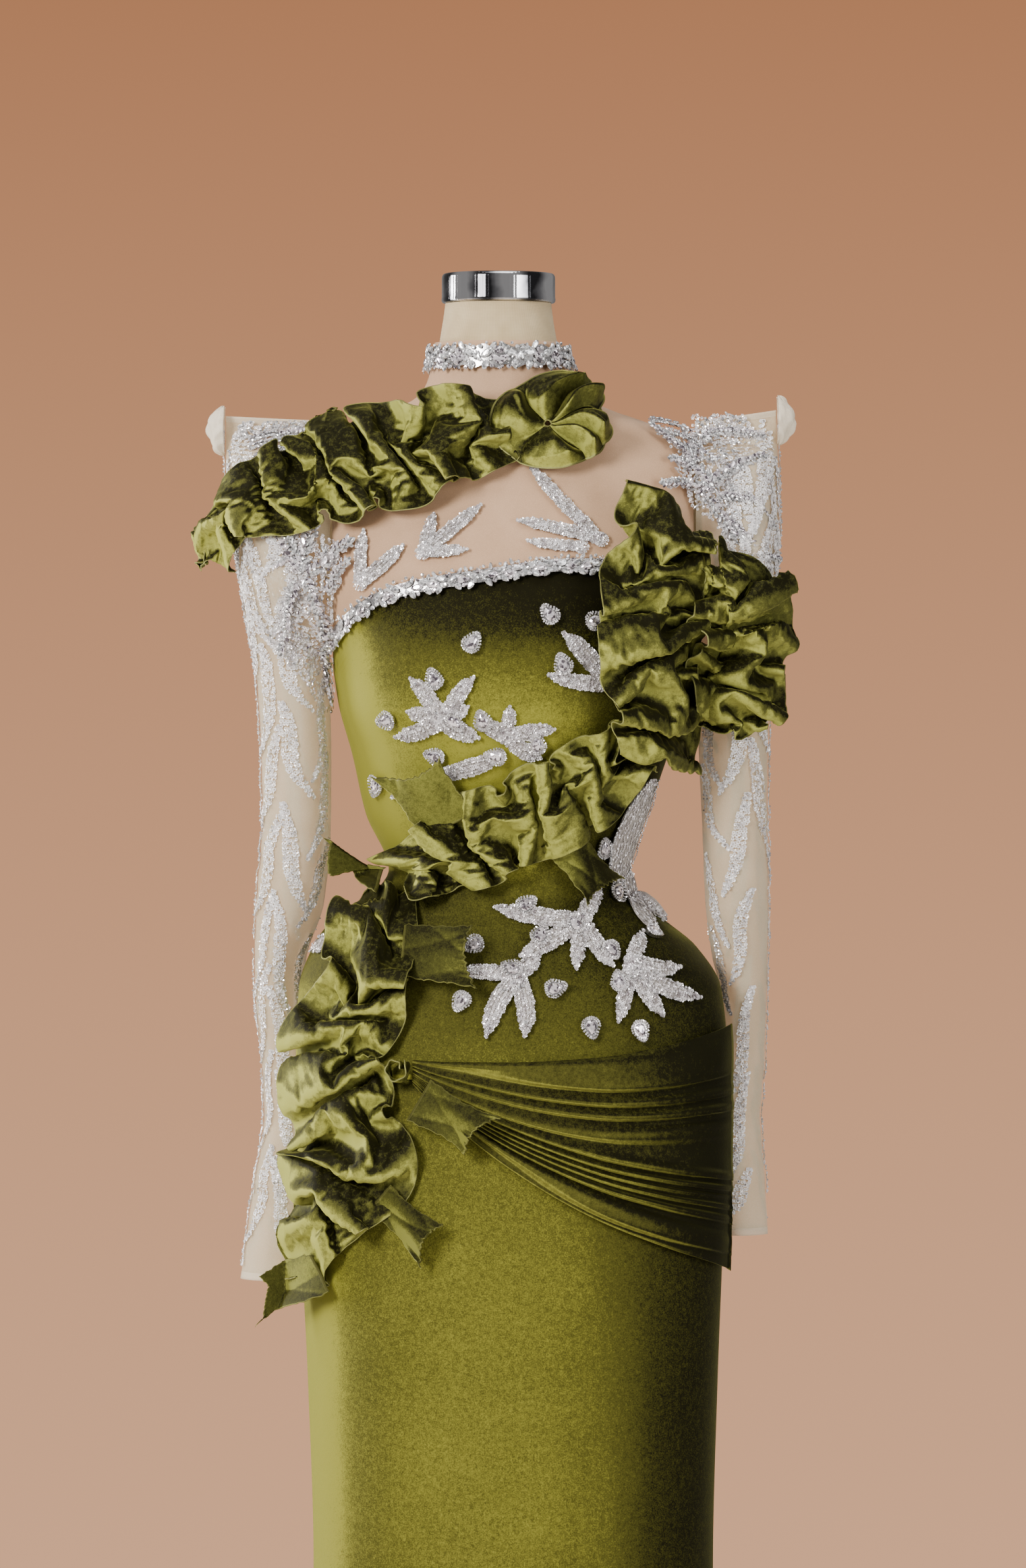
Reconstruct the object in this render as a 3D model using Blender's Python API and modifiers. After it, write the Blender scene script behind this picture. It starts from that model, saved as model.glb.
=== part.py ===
"""Mermaid evening dress on a limbless dress form.

Metres, +Z up, the front of the dress faces -Y and the wearer's left is +X.
The origin is the centre of the stand's underside.
"""
import math

import bpy
from mathutils import Vector
from mathutils.geometry import tessellate_polygon

# ---------------------------------------------------------------- driving sizes
VELVET = 0.0015          # wall of the velvet pieces
TULLE = 0.0010           # wall of the tulle pieces
SEAM = 0.0003            # gap between neighbouring pieces
FORM_EASE = 0.0092       # the form lies this far inside the cloth's outer face
ARMHOLE_X = 0.1500       # the armhole is the cut of the body by this plane
SLEEVE_X = 0.1515        # the sleeve head starts here
HIP_SEAM_Z = 0.9317      # bodice meets skirt
HEM_Z = 0.0130
COLLAR_Z = 1.5430
NECK_TOP_Z = 1.5762
CAP_TOP_Z = 1.6010
TORSO_BOTTOM_Z = 0.8000
NECK_X = -0.0121         # the neck stands a little off the stand's axis
NECK_R = 0.0473
BASE_R = 0.1650
BASE_H = 0.0160
POLE_R = 0.0125
FLUTES = 8
HALF_COLUMNS = 14        # columns of one half of the body, front or back

# ---------------------------------------------------------------- section table
# outer face of the cloth: height, left and right reach, front and back depth, power of the oval
BODY_COLUMNS = ("z", "xl", "xr", "front", "back", "power")
BODY = (
    (1.601, -0.0594, 0.0352, 0.0473, 0.0473, 2.0),
    (1.576, -0.0610, 0.0365, 0.0490, 0.0490, 2.0),
    (1.545, -0.0655, 0.0410, 0.0530, 0.0530, 2.0),
    (1.515, -0.0705, 0.0500, 0.0580, 0.0580, 2.0),
    (1.500, -0.0780, 0.0590, 0.0610, 0.0630, 2.0),
    (1.488, -0.0985, 0.0800, 0.0640, 0.0710, 2.0),
    (1.478, -0.1230, 0.1090, 0.0670, 0.0780, 2.0),
    (1.466, -0.1460, 0.1380, 0.0700, 0.0830, 2.1),
    (1.448, -0.1630, 0.1570, 0.0750, 0.0870, 2.2),
    (1.420, -0.1710, 0.1660, 0.0850, 0.0930, 2.2),
    (1.380, -0.1710, 0.1670, 0.1040, 0.0980, 2.3),
    (1.330, -0.1630, 0.1610, 0.1260, 0.0980, 2.3),
    (1.285, -0.1525, 0.1525, 0.1330, 0.0940, 2.3),
    (1.240, -0.1455, 0.1440, 0.1300, 0.0880, 2.3),
    (1.200, -0.1345, 0.1300, 0.1190, 0.0810, 2.2),
    (1.150, -0.1230, 0.1130, 0.0970, 0.0740, 2.2),
    (1.1035, -0.1040, 0.0985, 0.0850, 0.0700, 2.2),
    (1.087, -0.1140, 0.1010, 0.0860, 0.0740, 2.2),
    (1.065, -0.1480, 0.1230, 0.0900, 0.0880, 2.2),
    (1.040, -0.1670, 0.1530, 0.0970, 0.1050, 2.2),
    (1.005, -0.1790, 0.1740, 0.1060, 0.1230, 2.2),
    (0.950, -0.1815, 0.1790, 0.1140, 0.1320, 2.2),
    (0.880, -0.1810, 0.1785, 0.1180, 0.1290, 2.3),
    (0.780, -0.1765, 0.1750, 0.1205, 0.1230, 2.3),
    (0.680, -0.1715, 0.1712, 0.1205, 0.1200, 2.3),
    (0.520, -0.1667, 0.1672, 0.1180, 0.1180, 2.3),
    (0.440, -0.1690, 0.1690, 0.1220, 0.1230, 2.2),
    (0.340, -0.1900, 0.1900, 0.1460, 0.1500, 2.1),
    (0.240, -0.2300, 0.2300, 0.1900, 0.1960, 2.0),
    (0.140, -0.2830, 0.2830, 0.2470, 0.2550, 2.0),
    (0.060, -0.3300, 0.3300, 0.2980, 0.3080, 2.0),
    (0.000, -0.3660, 0.3660, 0.3360, 0.3480, 2.0),
)

# sleeve tubes: height, outer and inner reach from the middle plane, y of the axis, half depth
SLEEVE_COLUMNS = ("z", "outer", "inner", "cy", "depth")
SLEEVE_RIGHT = (
    (1.4700, 0.2390, 0.1515, 0.004, 0.045),
    (1.4450, 0.2387, 0.1515, 0.004, 0.052),
    (1.3800, 0.2310, 0.1515, 0.004, 0.058),
    (1.3180, 0.2220, 0.1520, 0.004, 0.054),
    (1.2700, 0.2140, 0.1540, 0.004, 0.046),
    (1.2000, 0.2090, 0.1525, 0.006, 0.043),
    (1.1420, 0.2075, 0.1530, 0.012, 0.042),
    (1.0760, 0.2130, 0.1590, 0.026, 0.042),
    (1.0300, 0.2150, 0.1740, 0.042, 0.044),
    (1.0050, 0.2150, 0.1770, 0.052, 0.044),
    (0.9385, 0.2100, 0.1700, 0.072, 0.042),
    (0.8945, 0.2085, 0.1680, 0.078, 0.041),
    (0.8395, 0.2165, 0.1670, 0.080, 0.042),
    (0.7580, 0.2280, 0.1720, 0.078, 0.043),
)
SLEEVE_LEFT = (
    (1.4700, 0.2190, 0.1515, 0.004, 0.045),
    (1.4450, 0.2200, 0.1515, 0.004, 0.052),
    (1.3800, 0.2200, 0.1515, 0.004, 0.058),
    (1.3180, 0.2150, 0.1520, 0.004, 0.054),
    (1.2700, 0.2130, 0.1540, 0.004, 0.046),
    (1.2000, 0.2118, 0.1560, 0.006, 0.043),
    (1.1420, 0.2112, 0.1590, 0.012, 0.042),
    (1.0760, 0.2120, 0.1620, 0.024, 0.042),
    (1.0300, 0.2122, 0.1680, 0.040, 0.043),
    (1.0050, 0.2122, 0.1735, 0.050, 0.043),
    (0.9385, 0.2105, 0.1680, 0.070, 0.042),
    (0.8945, 0.2070, 0.1660, 0.078, 0.041),
    (0.8395, 0.2110, 0.1650, 0.080, 0.042),
    (0.7960, 0.2135, 0.1680, 0.078, 0.043),
)
HEAD_BOTTOM_Z, HEAD_FULL_Z = 1.2700, 1.3050   # the tube opens into the sleeve head
RIDGE_Z = 1.4620                              # the head closes to a ridge above this

# neckline of the bodice: reach from the middle, height in front
NECKLINE_COLUMNS = ("x", "z")
NECKLINE = (
    (-0.1530, 1.2850),
    (-0.1370, 1.3070),
    (-0.1210, 1.3205),
    (-0.0980, 1.3315),
    (-0.0700, 1.3380),
    (-0.0160, 1.3460),
    (0.0400, 1.3535),
    (0.0850, 1.3540),
    (0.1200, 1.3450),
    (0.1530, 1.3150),
)
BACK_NECKLINE_Z = 1.3150

# hip drape: reach from the middle, top and bottom edge
DRAPE_COLUMNS = ("x", "top", "bottom")
DRAPE = (
    (-0.0830, 0.9480, 0.9300),
    (-0.0560, 0.9465, 0.9020),
    (-0.0030, 0.9462, 0.8590),
    (0.0690, 0.9500, 0.8165),
    (0.1240, 0.9590, 0.7930),
    (0.1600, 0.9690, 0.7790),
    (0.1775, 0.9755, 0.7700),
)

# ruffle paths, seen from the front: x and z of the middle, half width, height of the folds
RUFFLE_COLUMNS = ("x", "z", "half", "lift")
RUFFLE_SHOULDER = (
    (-0.2400, 1.3660, 0.0150, 0.020),
    (-0.2340, 1.3900, 0.0200, 0.028),
    (-0.1950, 1.4110, 0.0290, 0.032),
    (-0.1400, 1.4310, 0.0400, 0.034),
    (-0.0880, 1.4440, 0.0400, 0.036),
    (-0.0440, 1.4570, 0.0340, 0.034),
    (-0.0100, 1.4640, 0.0300, 0.030),
)
RUFFLE_TIP = (
    (0.0590, 1.4850, 0.0300, 0.026),
    (0.0780, 1.4830, 0.0260, 0.024),
    (0.0910, 1.4870, 0.0140, 0.016),
)
RUFFLE_BUST_INNER = (
    (0.1220, 1.3960, 0.0310, 0.030),
    (0.1140, 1.3620, 0.0330, 0.034),
    (0.1060, 1.3180, 0.0330, 0.036),
    (0.1100, 1.2700, 0.0320, 0.036),
    (0.1160, 1.2300, 0.0290, 0.034),
    (0.1140, 1.2040, 0.0240, 0.026),
)
RUFFLE_BUST_OUTER = (
    (0.1640, 1.3580, 0.0120, 0.020),
    (0.1780, 1.3380, 0.0260, 0.032),
    (0.1820, 1.3040, 0.0300, 0.036),
    (0.1800, 1.2600, 0.0290, 0.036),
    (0.1760, 1.2220, 0.0230, 0.030),
)
RUFFLE_WAIST = (
    (0.0900, 1.2080, 0.0240, 0.026),
    (0.0720, 1.1900, 0.0280, 0.030),
    (0.0380, 1.1660, 0.0330, 0.033),
    (-0.0040, 1.1440, 0.0350, 0.034),
    (-0.0480, 1.1200, 0.0340, 0.032),
    (-0.0830, 1.1000, 0.0270, 0.026),
)
RUFFLE_HIP = (
    (-0.1000, 1.0780, 0.0220, 0.024),
    (-0.1080, 1.0400, 0.0280, 0.032),
    (-0.1200, 1.0000, 0.0320, 0.036),
    (-0.1400, 0.9500, 0.0320, 0.038),
    (-0.1320, 0.9020, 0.0360, 0.038),
    (-0.1260, 0.8640, 0.0400, 0.036),
    (-0.1440, 0.8300, 0.0340, 0.032),
    (-0.1580, 0.7960, 0.0220, 0.026),
    (-0.1600, 0.7740, 0.0110, 0.014),
)

# raw-edged flaps: root on the body, direction on the front view, length, width, and how far the tip stands off
FLAP_COLUMNS = ("name", "x", "z", "direction", "length", "width", "start", "stand")
FLAPS = (
    ("flap_waist_top", -0.0560, 1.1560, 118, 0.0420, 0.0400, 0.008, 0.016),
    ("flap_waist_end", 0.0440, 1.1230, -58, 0.0460, 0.0340, 0.006, 0.010),
    ("flap_hip_side", -0.1120, 1.0960, 158, 0.0420, 0.0420, 0.012, 0.022),
    ("flap_hip_top", -0.0740, 1.0330, -8, 0.0420, 0.0420, 0.010, 0.020),
    ("flap_hip_front", -0.0620, 0.9080, -30, 0.0420, 0.0360, 0.012, 0.020),
    ("flap_hip_low", -0.0960, 0.8260, -42, 0.0420, 0.0300, 0.006, 0.012),
    ("flap_tail", -0.1620, 0.7660, 205, 0.0420, 0.0360, 0.010, 0.018),
)

# sequin branches: hub on the body, then arms by direction, length, half width and bend
ARM_COLUMNS = ("direction", "length", "half", "bend")
SPRAYS = (
    # name, x, z, arms
    ("bust_branch_centre", -0.0570, 1.2270, (
        (120, 0.044, 0.0060, 14), (62, 0.044, 0.0055, -16), (30, 0.024, 0.0050, 0),
        (160, 0.030, 0.0055, 10), (205, 0.040, 0.0060, -14), (330, 0.032, 0.0065, 12))),
    ("bust_branch_side", -0.0060, 1.2150, (
        (150, 0.022, 0.0060, 0), (78, 0.024, 0.0050, 10), (318, 0.034, 0.0060, 20),
        (12, 0.040, 0.0055, -8))),
    ("bust_branch_low", -0.0520, 1.1850, (
        (14, 0.042, 0.0065, 6), (208, 0.050, 0.0060, -10))),
    ("bust_branch_top", 0.0800, 1.2560, (
        (128, 0.058, 0.0070, 10), (176, 0.052, 0.0055, -12))),
    ("hip_branch_hub", 0.0560, 1.0620, (
        (62, 0.030, 0.0065, 0), (176, 0.072, 0.0065, -10), (214, 0.058, 0.0070, -8),
        (262, 0.040, 0.0055, 4), (300, 0.046, 0.0060, 8))),
    ("hip_branch_low", 0.0030, 1.0170, (
        (172, 0.046, 0.0055, 8), (232, 0.056, 0.0070, 24), (290, 0.050, 0.0070, -26),
        (40, 0.024, 0.0060, 0))),
    ("hip_branch_fan", 0.0960, 1.0280, (
        (66, 0.026, 0.0060, 0), (340, 0.042, 0.0060, 26), (318, 0.066, 0.0065, 30),
        (296, 0.052, 0.0060, 10), (262, 0.050, 0.0055, -8))),
    ("hip_branch_top", 0.0980, 1.0820, (
        (300, 0.034, 0.0055, 14), (336, 0.040, 0.0055, -16), (100, 0.020, 0.0060, 0))),
    ("hip_branch_right", -0.1480, 1.0480, (
        (38, 0.030, 0.0055, 6), (216, 0.022, 0.0050, 0))),
    ("hip_branch_edge", -0.1560, 1.0060, (
        (60, 0.022, 0.0055, -30), (282, 0.026, 0.0050, 20))),
    ("yoke_spray_right", -0.1240, 1.3400, (
        (92, 0.044, 0.0045, -10), (38, 0.046, 0.0050, 8))),
    ("yoke_spray_middle", -0.0740, 1.3640, (
        (40, 0.062, 0.0050, 0), (74, 0.034, 0.0045, 0), (4, 0.036, 0.0040, 0))),
    ("yoke_spray_left", 0.0720, 1.3750, (
        (136, 0.086, 0.0048, -6), (164, 0.070, 0.0042, 6))),
    ("yoke_spray_low", 0.0560, 1.3690, (
        (176, 0.044, 0.0038, -4),)),
)

MATERIALS = {
    # name: colour, roughness, metallic
    "velvet": ((0.130, 0.130, 0.022, 1), 0.75, 0.0),
    "tulle": ((0.700, 0.520, 0.380, 1), 0.80, 0.0),
    "sleeve_tulle": ((0.800, 0.700, 0.560, 1), 0.75, 0.0),
    "crystal": ((0.850, 0.840, 0.860, 1), 0.15, 0.2),
    "sequins": ((0.750, 0.730, 0.740, 1), 0.25, 0.5),
    "jersey": ((0.620, 0.480, 0.300, 1), 0.90, 0.0),
    "chrome": ((0.700, 0.700, 0.720, 1), 0.08, 1.0),
    "painted_metal": ((0.050, 0.050, 0.052, 1), 0.45, 0.6),
    "zip_metal": ((0.420, 0.420, 0.250, 1), 0.35, 0.8),
}


# ---------------------------------------------------------------- scene
def clear_scene():
    for obj in list(bpy.data.objects):
        bpy.data.objects.remove(obj, do_unlink=True)


clear_scene()
DRESS = bpy.data.collections.new("mermaid_evening_dress")
bpy.context.scene.collection.children.link(DRESS)


def material(name):
    found = bpy.data.materials.get(name)
    if found:
        return found
    colour, roughness, metallic = MATERIALS[name]
    made = bpy.data.materials.new(name)
    made.use_nodes = True
    shader = made.node_tree.nodes["Principled BSDF"]
    shader.inputs["Base Color"].default_value = colour
    shader.inputs["Roughness"].default_value = roughness
    shader.inputs["Metallic"].default_value = metallic
    made.diffuse_color = colour
    return made


def new_object(name, points, faces, finish, smooth=True):
    mesh = bpy.data.meshes.new(name)
    mesh.from_pydata([tuple(p) for p in points], [], faces)
    mesh.validate()
    mesh.update()
    if smooth:
        mesh.shade_smooth()
    mesh.materials.append(material(finish))
    obj = bpy.data.objects.new(name, mesh)
    DRESS.objects.link(obj)
    return obj


def solidify(obj, thickness, even=True):
    wall = obj.modifiers.new("wall", "SOLIDIFY")
    wall.thickness = thickness
    wall.offset = 1.0
    wall.use_even_offset = even
    wall.use_rim = True
    return obj


# ---------------------------------------------------------------- tables to curves
def column(table, columns, name):
    at = columns.index(name)
    return [row[at] for row in table]


def smooth_curve(xs, ys):
    """Monotone cubic through the rows of a table, in rising order of xs."""
    if xs[0] > xs[-1]:
        xs, ys = xs[::-1], ys[::-1]
    n = len(xs)
    step = [xs[i + 1] - xs[i] for i in range(n - 1)]
    rise = [(ys[i + 1] - ys[i]) / step[i] for i in range(n - 1)]
    slope = [rise[0]] + [0.0] * (n - 2) + [rise[-1]]
    for i in range(1, n - 1):
        if rise[i - 1] * rise[i] > 0:
            w1, w2 = 2 * step[i] + step[i - 1], step[i] + 2 * step[i - 1]
            slope[i] = (w1 + w2) / (w1 / rise[i - 1] + w2 / rise[i])

    def value(x):
        x = min(max(x, xs[0]), xs[-1])
        i = 0
        while i < n - 2 and x > xs[i + 1]:
            i += 1
        t = (x - xs[i]) / step[i]
        a = (1 + 2 * t) * (1 - t) ** 2
        b = t * (1 - t) ** 2
        c = t * t * (3 - 2 * t)
        d = t * t * (t - 1)
        return a * ys[i] + b * step[i] * slope[i] + c * ys[i + 1] + d * step[i] * slope[i + 1]

    return value


def curves(table, columns, key):
    keys = column(table, columns, key)
    return {
        name: smooth_curve(keys, column(table, columns, name))
        for name in columns
        if name != key
    }


BODY_AT = curves(BODY, BODY_COLUMNS, "z")
SLEEVE_AT = {
    -1: curves(SLEEVE_RIGHT, SLEEVE_COLUMNS, "z"),
    1: curves(SLEEVE_LEFT, SLEEVE_COLUMNS, "z"),
}
NECKLINE_AT = curves(NECKLINE, NECKLINE_COLUMNS, "x")["z"]
DRAPE_AT = curves(DRAPE, DRAPE_COLUMNS, "x")


# ---------------------------------------------------------------- body surface
def body_section(z):
    xl, xr = BODY_AT["xl"](z), BODY_AT["xr"](z)
    return (xl + xr) / 2, (xr - xl) / 2, BODY_AT["front"](z), BODY_AT["back"](z), BODY_AT["power"](z)


def flute(z, angle):
    """Soft flutes of the flare: none above the knee, deepest at the hem."""
    if z > 0.46:
        return 0.0
    grow = (0.46 - z) / 0.46
    wave = math.cos(FLUTES * angle + 0.8 * math.sin(2 * angle + 0.6) + 0.5 * math.sin(3 * angle))
    return 0.020 * grow ** 1.5 * wave


def body_raw(z, angle):
    """Angle 0 is centre front, 90 degrees the wearer's left side, 180 centre back."""
    cx, half, front, back, power = body_section(z)
    s, c = math.sin(angle), math.cos(angle)
    depth = front if c > 0 else back
    radius = (abs(s / half) ** power + abs(c / depth) ** power) ** (-1 / power)
    radius += flute(z, angle)
    return Vector((cx + radius * s, -radius * c, z))


def body(z, angle, out=0.0):
    point = body_raw(z, angle)
    if not out:
        return point
    d = 0.003
    along = body_raw(z, angle + 0.02) - body_raw(z, angle - 0.02)
    up = body_raw(z + d, angle) - body_raw(z - d, angle)
    return point + along.cross(up).normalized() * out


def body_angle(x, z):
    """Angle of the front surface point at x."""
    cx, half, front, back, power = body_section(z)
    u = min(abs(x - cx) / half, 0.9999)
    y = front * (1 - u ** power) ** (1 / power)
    return math.atan2(x - cx, y)


def armhole_angle(z, side, reach=ARMHOLE_X):
    """Angle from the front, or from the back by symmetry of the plane, where the side plane cuts the body."""
    cx, half, front, back, power = body_section(z)
    u = (side * reach - cx) * side / half
    if z < 1.20 or u >= 0.999:
        return math.pi / 2, math.pi / 2
    y_front = front * (1 - u ** power) ** (1 / power)
    y_back = back * (1 - u ** power) ** (1 / power)
    return math.atan2(u * half, y_front), math.pi - math.atan2(u * half, y_back)


# ---------------------------------------------------------------- sheets
def sheet(name, grid, thickness, finish, outward, even=True):
    """Open grid of rows made into a wall that grows outward."""
    rows, cols = len(grid), len(grid[0])
    points = [p for row in grid for p in row]
    middle = grid[rows // 2][cols // 2]
    normal = (grid[rows // 2][min(cols // 2 + 1, cols - 1)] - grid[rows // 2][cols // 2 - 1]).cross(
        grid[min(rows // 2 + 1, rows - 1)][cols // 2] - grid[max(rows // 2 - 1, 0)][cols // 2]
    )
    flip = normal.dot(outward(middle)) < 0
    faces = []
    for r in range(rows - 1):
        for c in range(cols - 1):
            a, b = r * cols + c, r * cols + c + 1
            d, e = a + cols, b + cols
            if (r + c) % 2:
                made = [(a, b, e), (a, e, d)]
            else:
                made = [(a, b, d), (b, e, d)]
            faces += [f[::-1] for f in made] if flip else made
    return solidify(new_object(name, points, faces, finish), thickness, even)


def from_axis(point):
    return Vector((point.x, point.y, 0.0))


def body_panel(name, start, end, columns, levels, thickness, finish, low, high, inset=0.0015):
    """Panel of the body between two angles, which may follow the height, and two edges, which may follow the angle."""
    grid = []
    for level in levels:
        row = []
        for c in range(columns + 1):
            t = c / columns
            # the edges depend on the angle, and the angle on the height: two passes settle both
            z = low(0.0) + (high(0.0) - low(0.0)) * level
            for _ in range(3):
                angle = start(z) + (end(z) - start(z)) * t
                z = low(angle) + (high(angle) - low(angle)) * level
            row.append(body(z, angle, -inset))
        grid.append(row)
    return sheet(name, grid, thickness, finish, from_axis)


def even_levels(count):
    return [i / count for i in range(count + 1)]


def seam_angle(z):
    """Half a seam's gap as an angle at this height."""
    cx, half, front, back, power = body_section(z)
    return 0.5 * SEAM / half + 0.0004


def front_end(side):
    def at(z):
        return side * (armhole_angle(z, side)[0] - seam_angle(z))
    return at


def back_end(side):
    def at(z):
        return side * (armhole_angle(z, side)[1] + seam_angle(z))
    return at


def centre_back(side):
    def at(z):
        return side * (math.pi - 0.5 * SEAM / BODY_AT["back"](z) - 0.0004)
    return at


def neckline_z(angle):
    """Neckline all round: the front curve, level at the back."""
    if abs(angle) <= math.pi / 2:
        z = 1.335
        for _ in range(4):
            z = NECKLINE_AT(body_raw(z, angle).x)
        return z
    side_z = NECKLINE_AT(0.153 if angle > 0 else -0.153)
    t = min((abs(angle) - math.pi / 2) / 0.9, 1.0)
    t = t * t * (3 - 2 * t)
    return side_z + (BACK_NECKLINE_Z - side_z) * t


def flat(z):
    return lambda angle: z


# bodice, yoke and skirt
BODICE_LEVELS = [0.0, 0.10, 0.19, 0.265, 0.325, 0.375, 0.425, 0.52, 0.66, 0.78, 0.88, 1.0]
half = HALF_COLUMNS // 2
body_panel("bodice_front", front_end(-1), front_end(1), HALF_COLUMNS, BODICE_LEVELS, VELVET, "velvet",
           flat(HIP_SEAM_Z + SEAM), lambda a: neckline_z(a) - SEAM)
for side, word in ((1, "left"), (-1, "right")):
    body_panel(f"bodice_back_{word}", back_end(side), centre_back(side), half, BODICE_LEVELS, VELVET, "velvet",
               flat(HIP_SEAM_Z + SEAM), lambda a: neckline_z(a) - SEAM)

YOKE_LEVELS = [0.0, 0.24, 0.46, 0.60, 0.70, 0.78, 0.87, 1.0]
body_panel("yoke_front", front_end(-1), front_end(1), HALF_COLUMNS, YOKE_LEVELS, TULLE, "tulle",
           lambda a: neckline_z(a) + SEAM, flat(COLLAR_Z))
for side, word in ((1, "left"), (-1, "right")):
    body_panel(f"yoke_back_{word}", back_end(side), centre_back(side), half, YOKE_LEVELS, TULLE, "tulle",
               lambda a: neckline_z(a) + SEAM, flat(COLLAR_Z))

SKIRT_HEIGHTS = (0.013, 0.060, 0.120, 0.190, 0.270, 0.350, 0.440, 0.560, 0.740, 0.9317 - 0.0003)
SKIRT_LEVELS = [(z - SKIRT_HEIGHTS[0]) / (SKIRT_HEIGHTS[-1] - SKIRT_HEIGHTS[0]) for z in SKIRT_HEIGHTS]
SKIRT_COLUMNS = 18
body_panel("skirt_front", front_end(-1), front_end(1), SKIRT_COLUMNS, SKIRT_LEVELS, VELVET, "velvet",
           flat(SKIRT_HEIGHTS[0]), flat(SKIRT_HEIGHTS[-1]))
for side, word in ((1, "left"), (-1, "right")):
    body_panel(f"skirt_back_{word}", back_end(side), centre_back(side), SKIRT_COLUMNS // 2, SKIRT_LEVELS, VELVET,
               "velvet", flat(SKIRT_HEIGHTS[0]), flat(SKIRT_HEIGHTS[-1]))


# ---------------------------------------------------------------- sleeves
def body_edge_y(z, side, reach):
    """y of the body's front and back surface at the sleeve's side of the armhole."""
    cx, half_x, front, back, power = body_section(z)
    u = (side * reach - cx) * side / half_x
    if u >= 1:
        return -0.0045, 0.0045
    left = (1 - u ** power) ** (1 / power)
    return -max(front * left, 0.0045), max(back * left, 0.0045)


def sleeve_raw(z, v, side):
    """v runs from the front of the armhole round the outside to the back; below the head it is the underarm seam."""
    at = SLEEVE_AT[side]
    outer, inner, cy, depth = at["outer"](z), at["inner"](z), at["cy"](z), at["depth"](z)
    gap = 0.012
    turn = 2 * math.pi * (gap + (1 - 2 * gap) * v)
    centre, half_x = (outer + inner) / 2, (outer - inner) / 2
    tube = Vector((side * (centre - half_x * math.cos(turn)), cy - depth * math.sin(turn), z))
    open_by = min(max((z - HEAD_BOTTOM_Z) / (HEAD_FULL_Z - HEAD_BOTTOM_Z), 0.0), 1.0)
    open_by = open_by * open_by * (3 - 2 * open_by)
    if not open_by:
        return tube
    y_front, y_back = body_edge_y(min(z, RIDGE_Z), side, SLEEVE_X)
    closing = min(max((z - 1.4450) / (1.4740 - 1.4450), 0.0), 1.0)
    closing = closing * closing * (3 - 2 * closing)
    belly = (0.014 if z > 1.33 else 0.010) * (1 - closing)
    y_front = y_front * (1 - closing) - 0.0030 * closing
    y_back = y_back * (1 - closing) + 0.0030 * closing
    across = math.sin(math.pi * v)
    y = y_front + (y_back - y_front) * (1 - math.cos(math.pi * v)) / 2 - belly * math.sin(2 * math.pi * v)
    x = SLEEVE_X + 0.0003 + (outer - SLEEVE_X) * across ** 0.85
    tip_rise = (0.004 if side < 0 else 0.009) * closing * across
    head = Vector((side * x, y, z + tip_rise))
    return tube.lerp(head, open_by)


def sleeve_surface(z, v, side, out=0.0):
    point = sleeve_raw(z, v, side)
    if not out:
        return point
    a, b = max(v - 0.02, 0.0), min(v + 0.02, 1.0)
    around = sleeve_raw(z, b, side) - sleeve_raw(z, a, side)
    up = sleeve_raw(z + 0.003, v, side) - sleeve_raw(z - 0.003, v, side)
    normal = around.cross(up).normalized()
    away = Vector((side, 0, 0)) if 0.3 < v < 0.7 else Vector((0, -1 if v < 0.5 else 1, 0))
    if normal.dot(away) < 0:
        normal = -normal
    return point + normal * out


SLEEVE_ROWS = (1.4780, 1.4690, 1.4560, 1.4350, 1.3900, 1.3300, 1.2960, 1.2700, 1.2000, 1.1300,
               1.0700, 1.0200, 0.9500, 0.8700)
SLEEVE_COLS = 9
for side, word in ((1, "left"), (-1, "right")):
    cuff = (SLEEVE_LEFT if side > 0 else SLEEVE_RIGHT)[-1][0]
    heights = list(SLEEVE_ROWS) + [(0.8700 + cuff) / 2, cuff]
    grid = [[sleeve_raw(z, c / SLEEVE_COLS, side) for c in range(SLEEVE_COLS + 1)] for z in heights]
    middle_x = side * 0.185

    def away(point, middle_x=middle_x):
        return Vector((point.x - middle_x, 0, 0))

    sheet(f"sleeve_{word}", grid, TULLE, "sleeve_tulle", away)

    # gathered tulle puff over the shoulder's tip
    tip = sleeve_raw(1.4700, 0.5, side)
    grid = []
    for r in range(5):
        lean = math.radians(-60 + 30 * r)
        row = []
        for c in range(9):
            turn = math.radians(-80 + 20 * c)
            swell = 0.011 + 0.0018 * math.cos(4 * turn + r)
            x = tip.x + side * (0.0030 + swell * math.cos(turn) * math.cos(lean) * 1.05)
            y = tip.y + 0.020 * math.sin(turn) * math.cos(lean)
            z = tip.z - 0.004 + (0.004 if side > 0 else 0.0) + 0.019 * math.sin(lean)
            row.append(Vector((x, y, z)))
        grid.append(row)
    sheet(f"shoulder_puff_{word}", grid, TULLE, "sleeve_tulle", away)

# crystal leaf clusters on the sleeve heads, made from the sleeve's points moved out
CLUSTER_COLUMNS = ("name", "side", "top", "bottom", "v0", "v1", "teeth", "tooth")
CLUSTERS = (
    ("shoulder_crystals_left", 1, 1.4560, 1.3820, 0.06, 0.40, 5, 0.016),
    ("shoulder_crystals_right", -1, 1.4640, 1.4440, 0.06, 0.40, 5, 0.006),
    ("arm_crystals_right", -1, 1.3560, 1.2450, 0.04, 0.28, 3, 0.020),
)
for name, side, top, bottom, v0, v1, teeth, tooth in CLUSTERS:
    cols, rows = 2 * teeth, 3
    grid = []
    for r in range(rows + 1):
        row = []
        for c in range(cols + 1):
            v = v0 + (v1 - v0) * c / cols
            low = bottom - (tooth if c % 2 else 0.0)
            high = top + (0.4 * tooth if c % 2 else 0.0)
            row.append(sleeve_surface(high + (low - high) * r / rows, v, side, 0.0060))
        grid.append(row)
    sheet(name, grid, 0.0025, "crystal", lambda p: Vector((0, -1, 0)))


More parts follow.
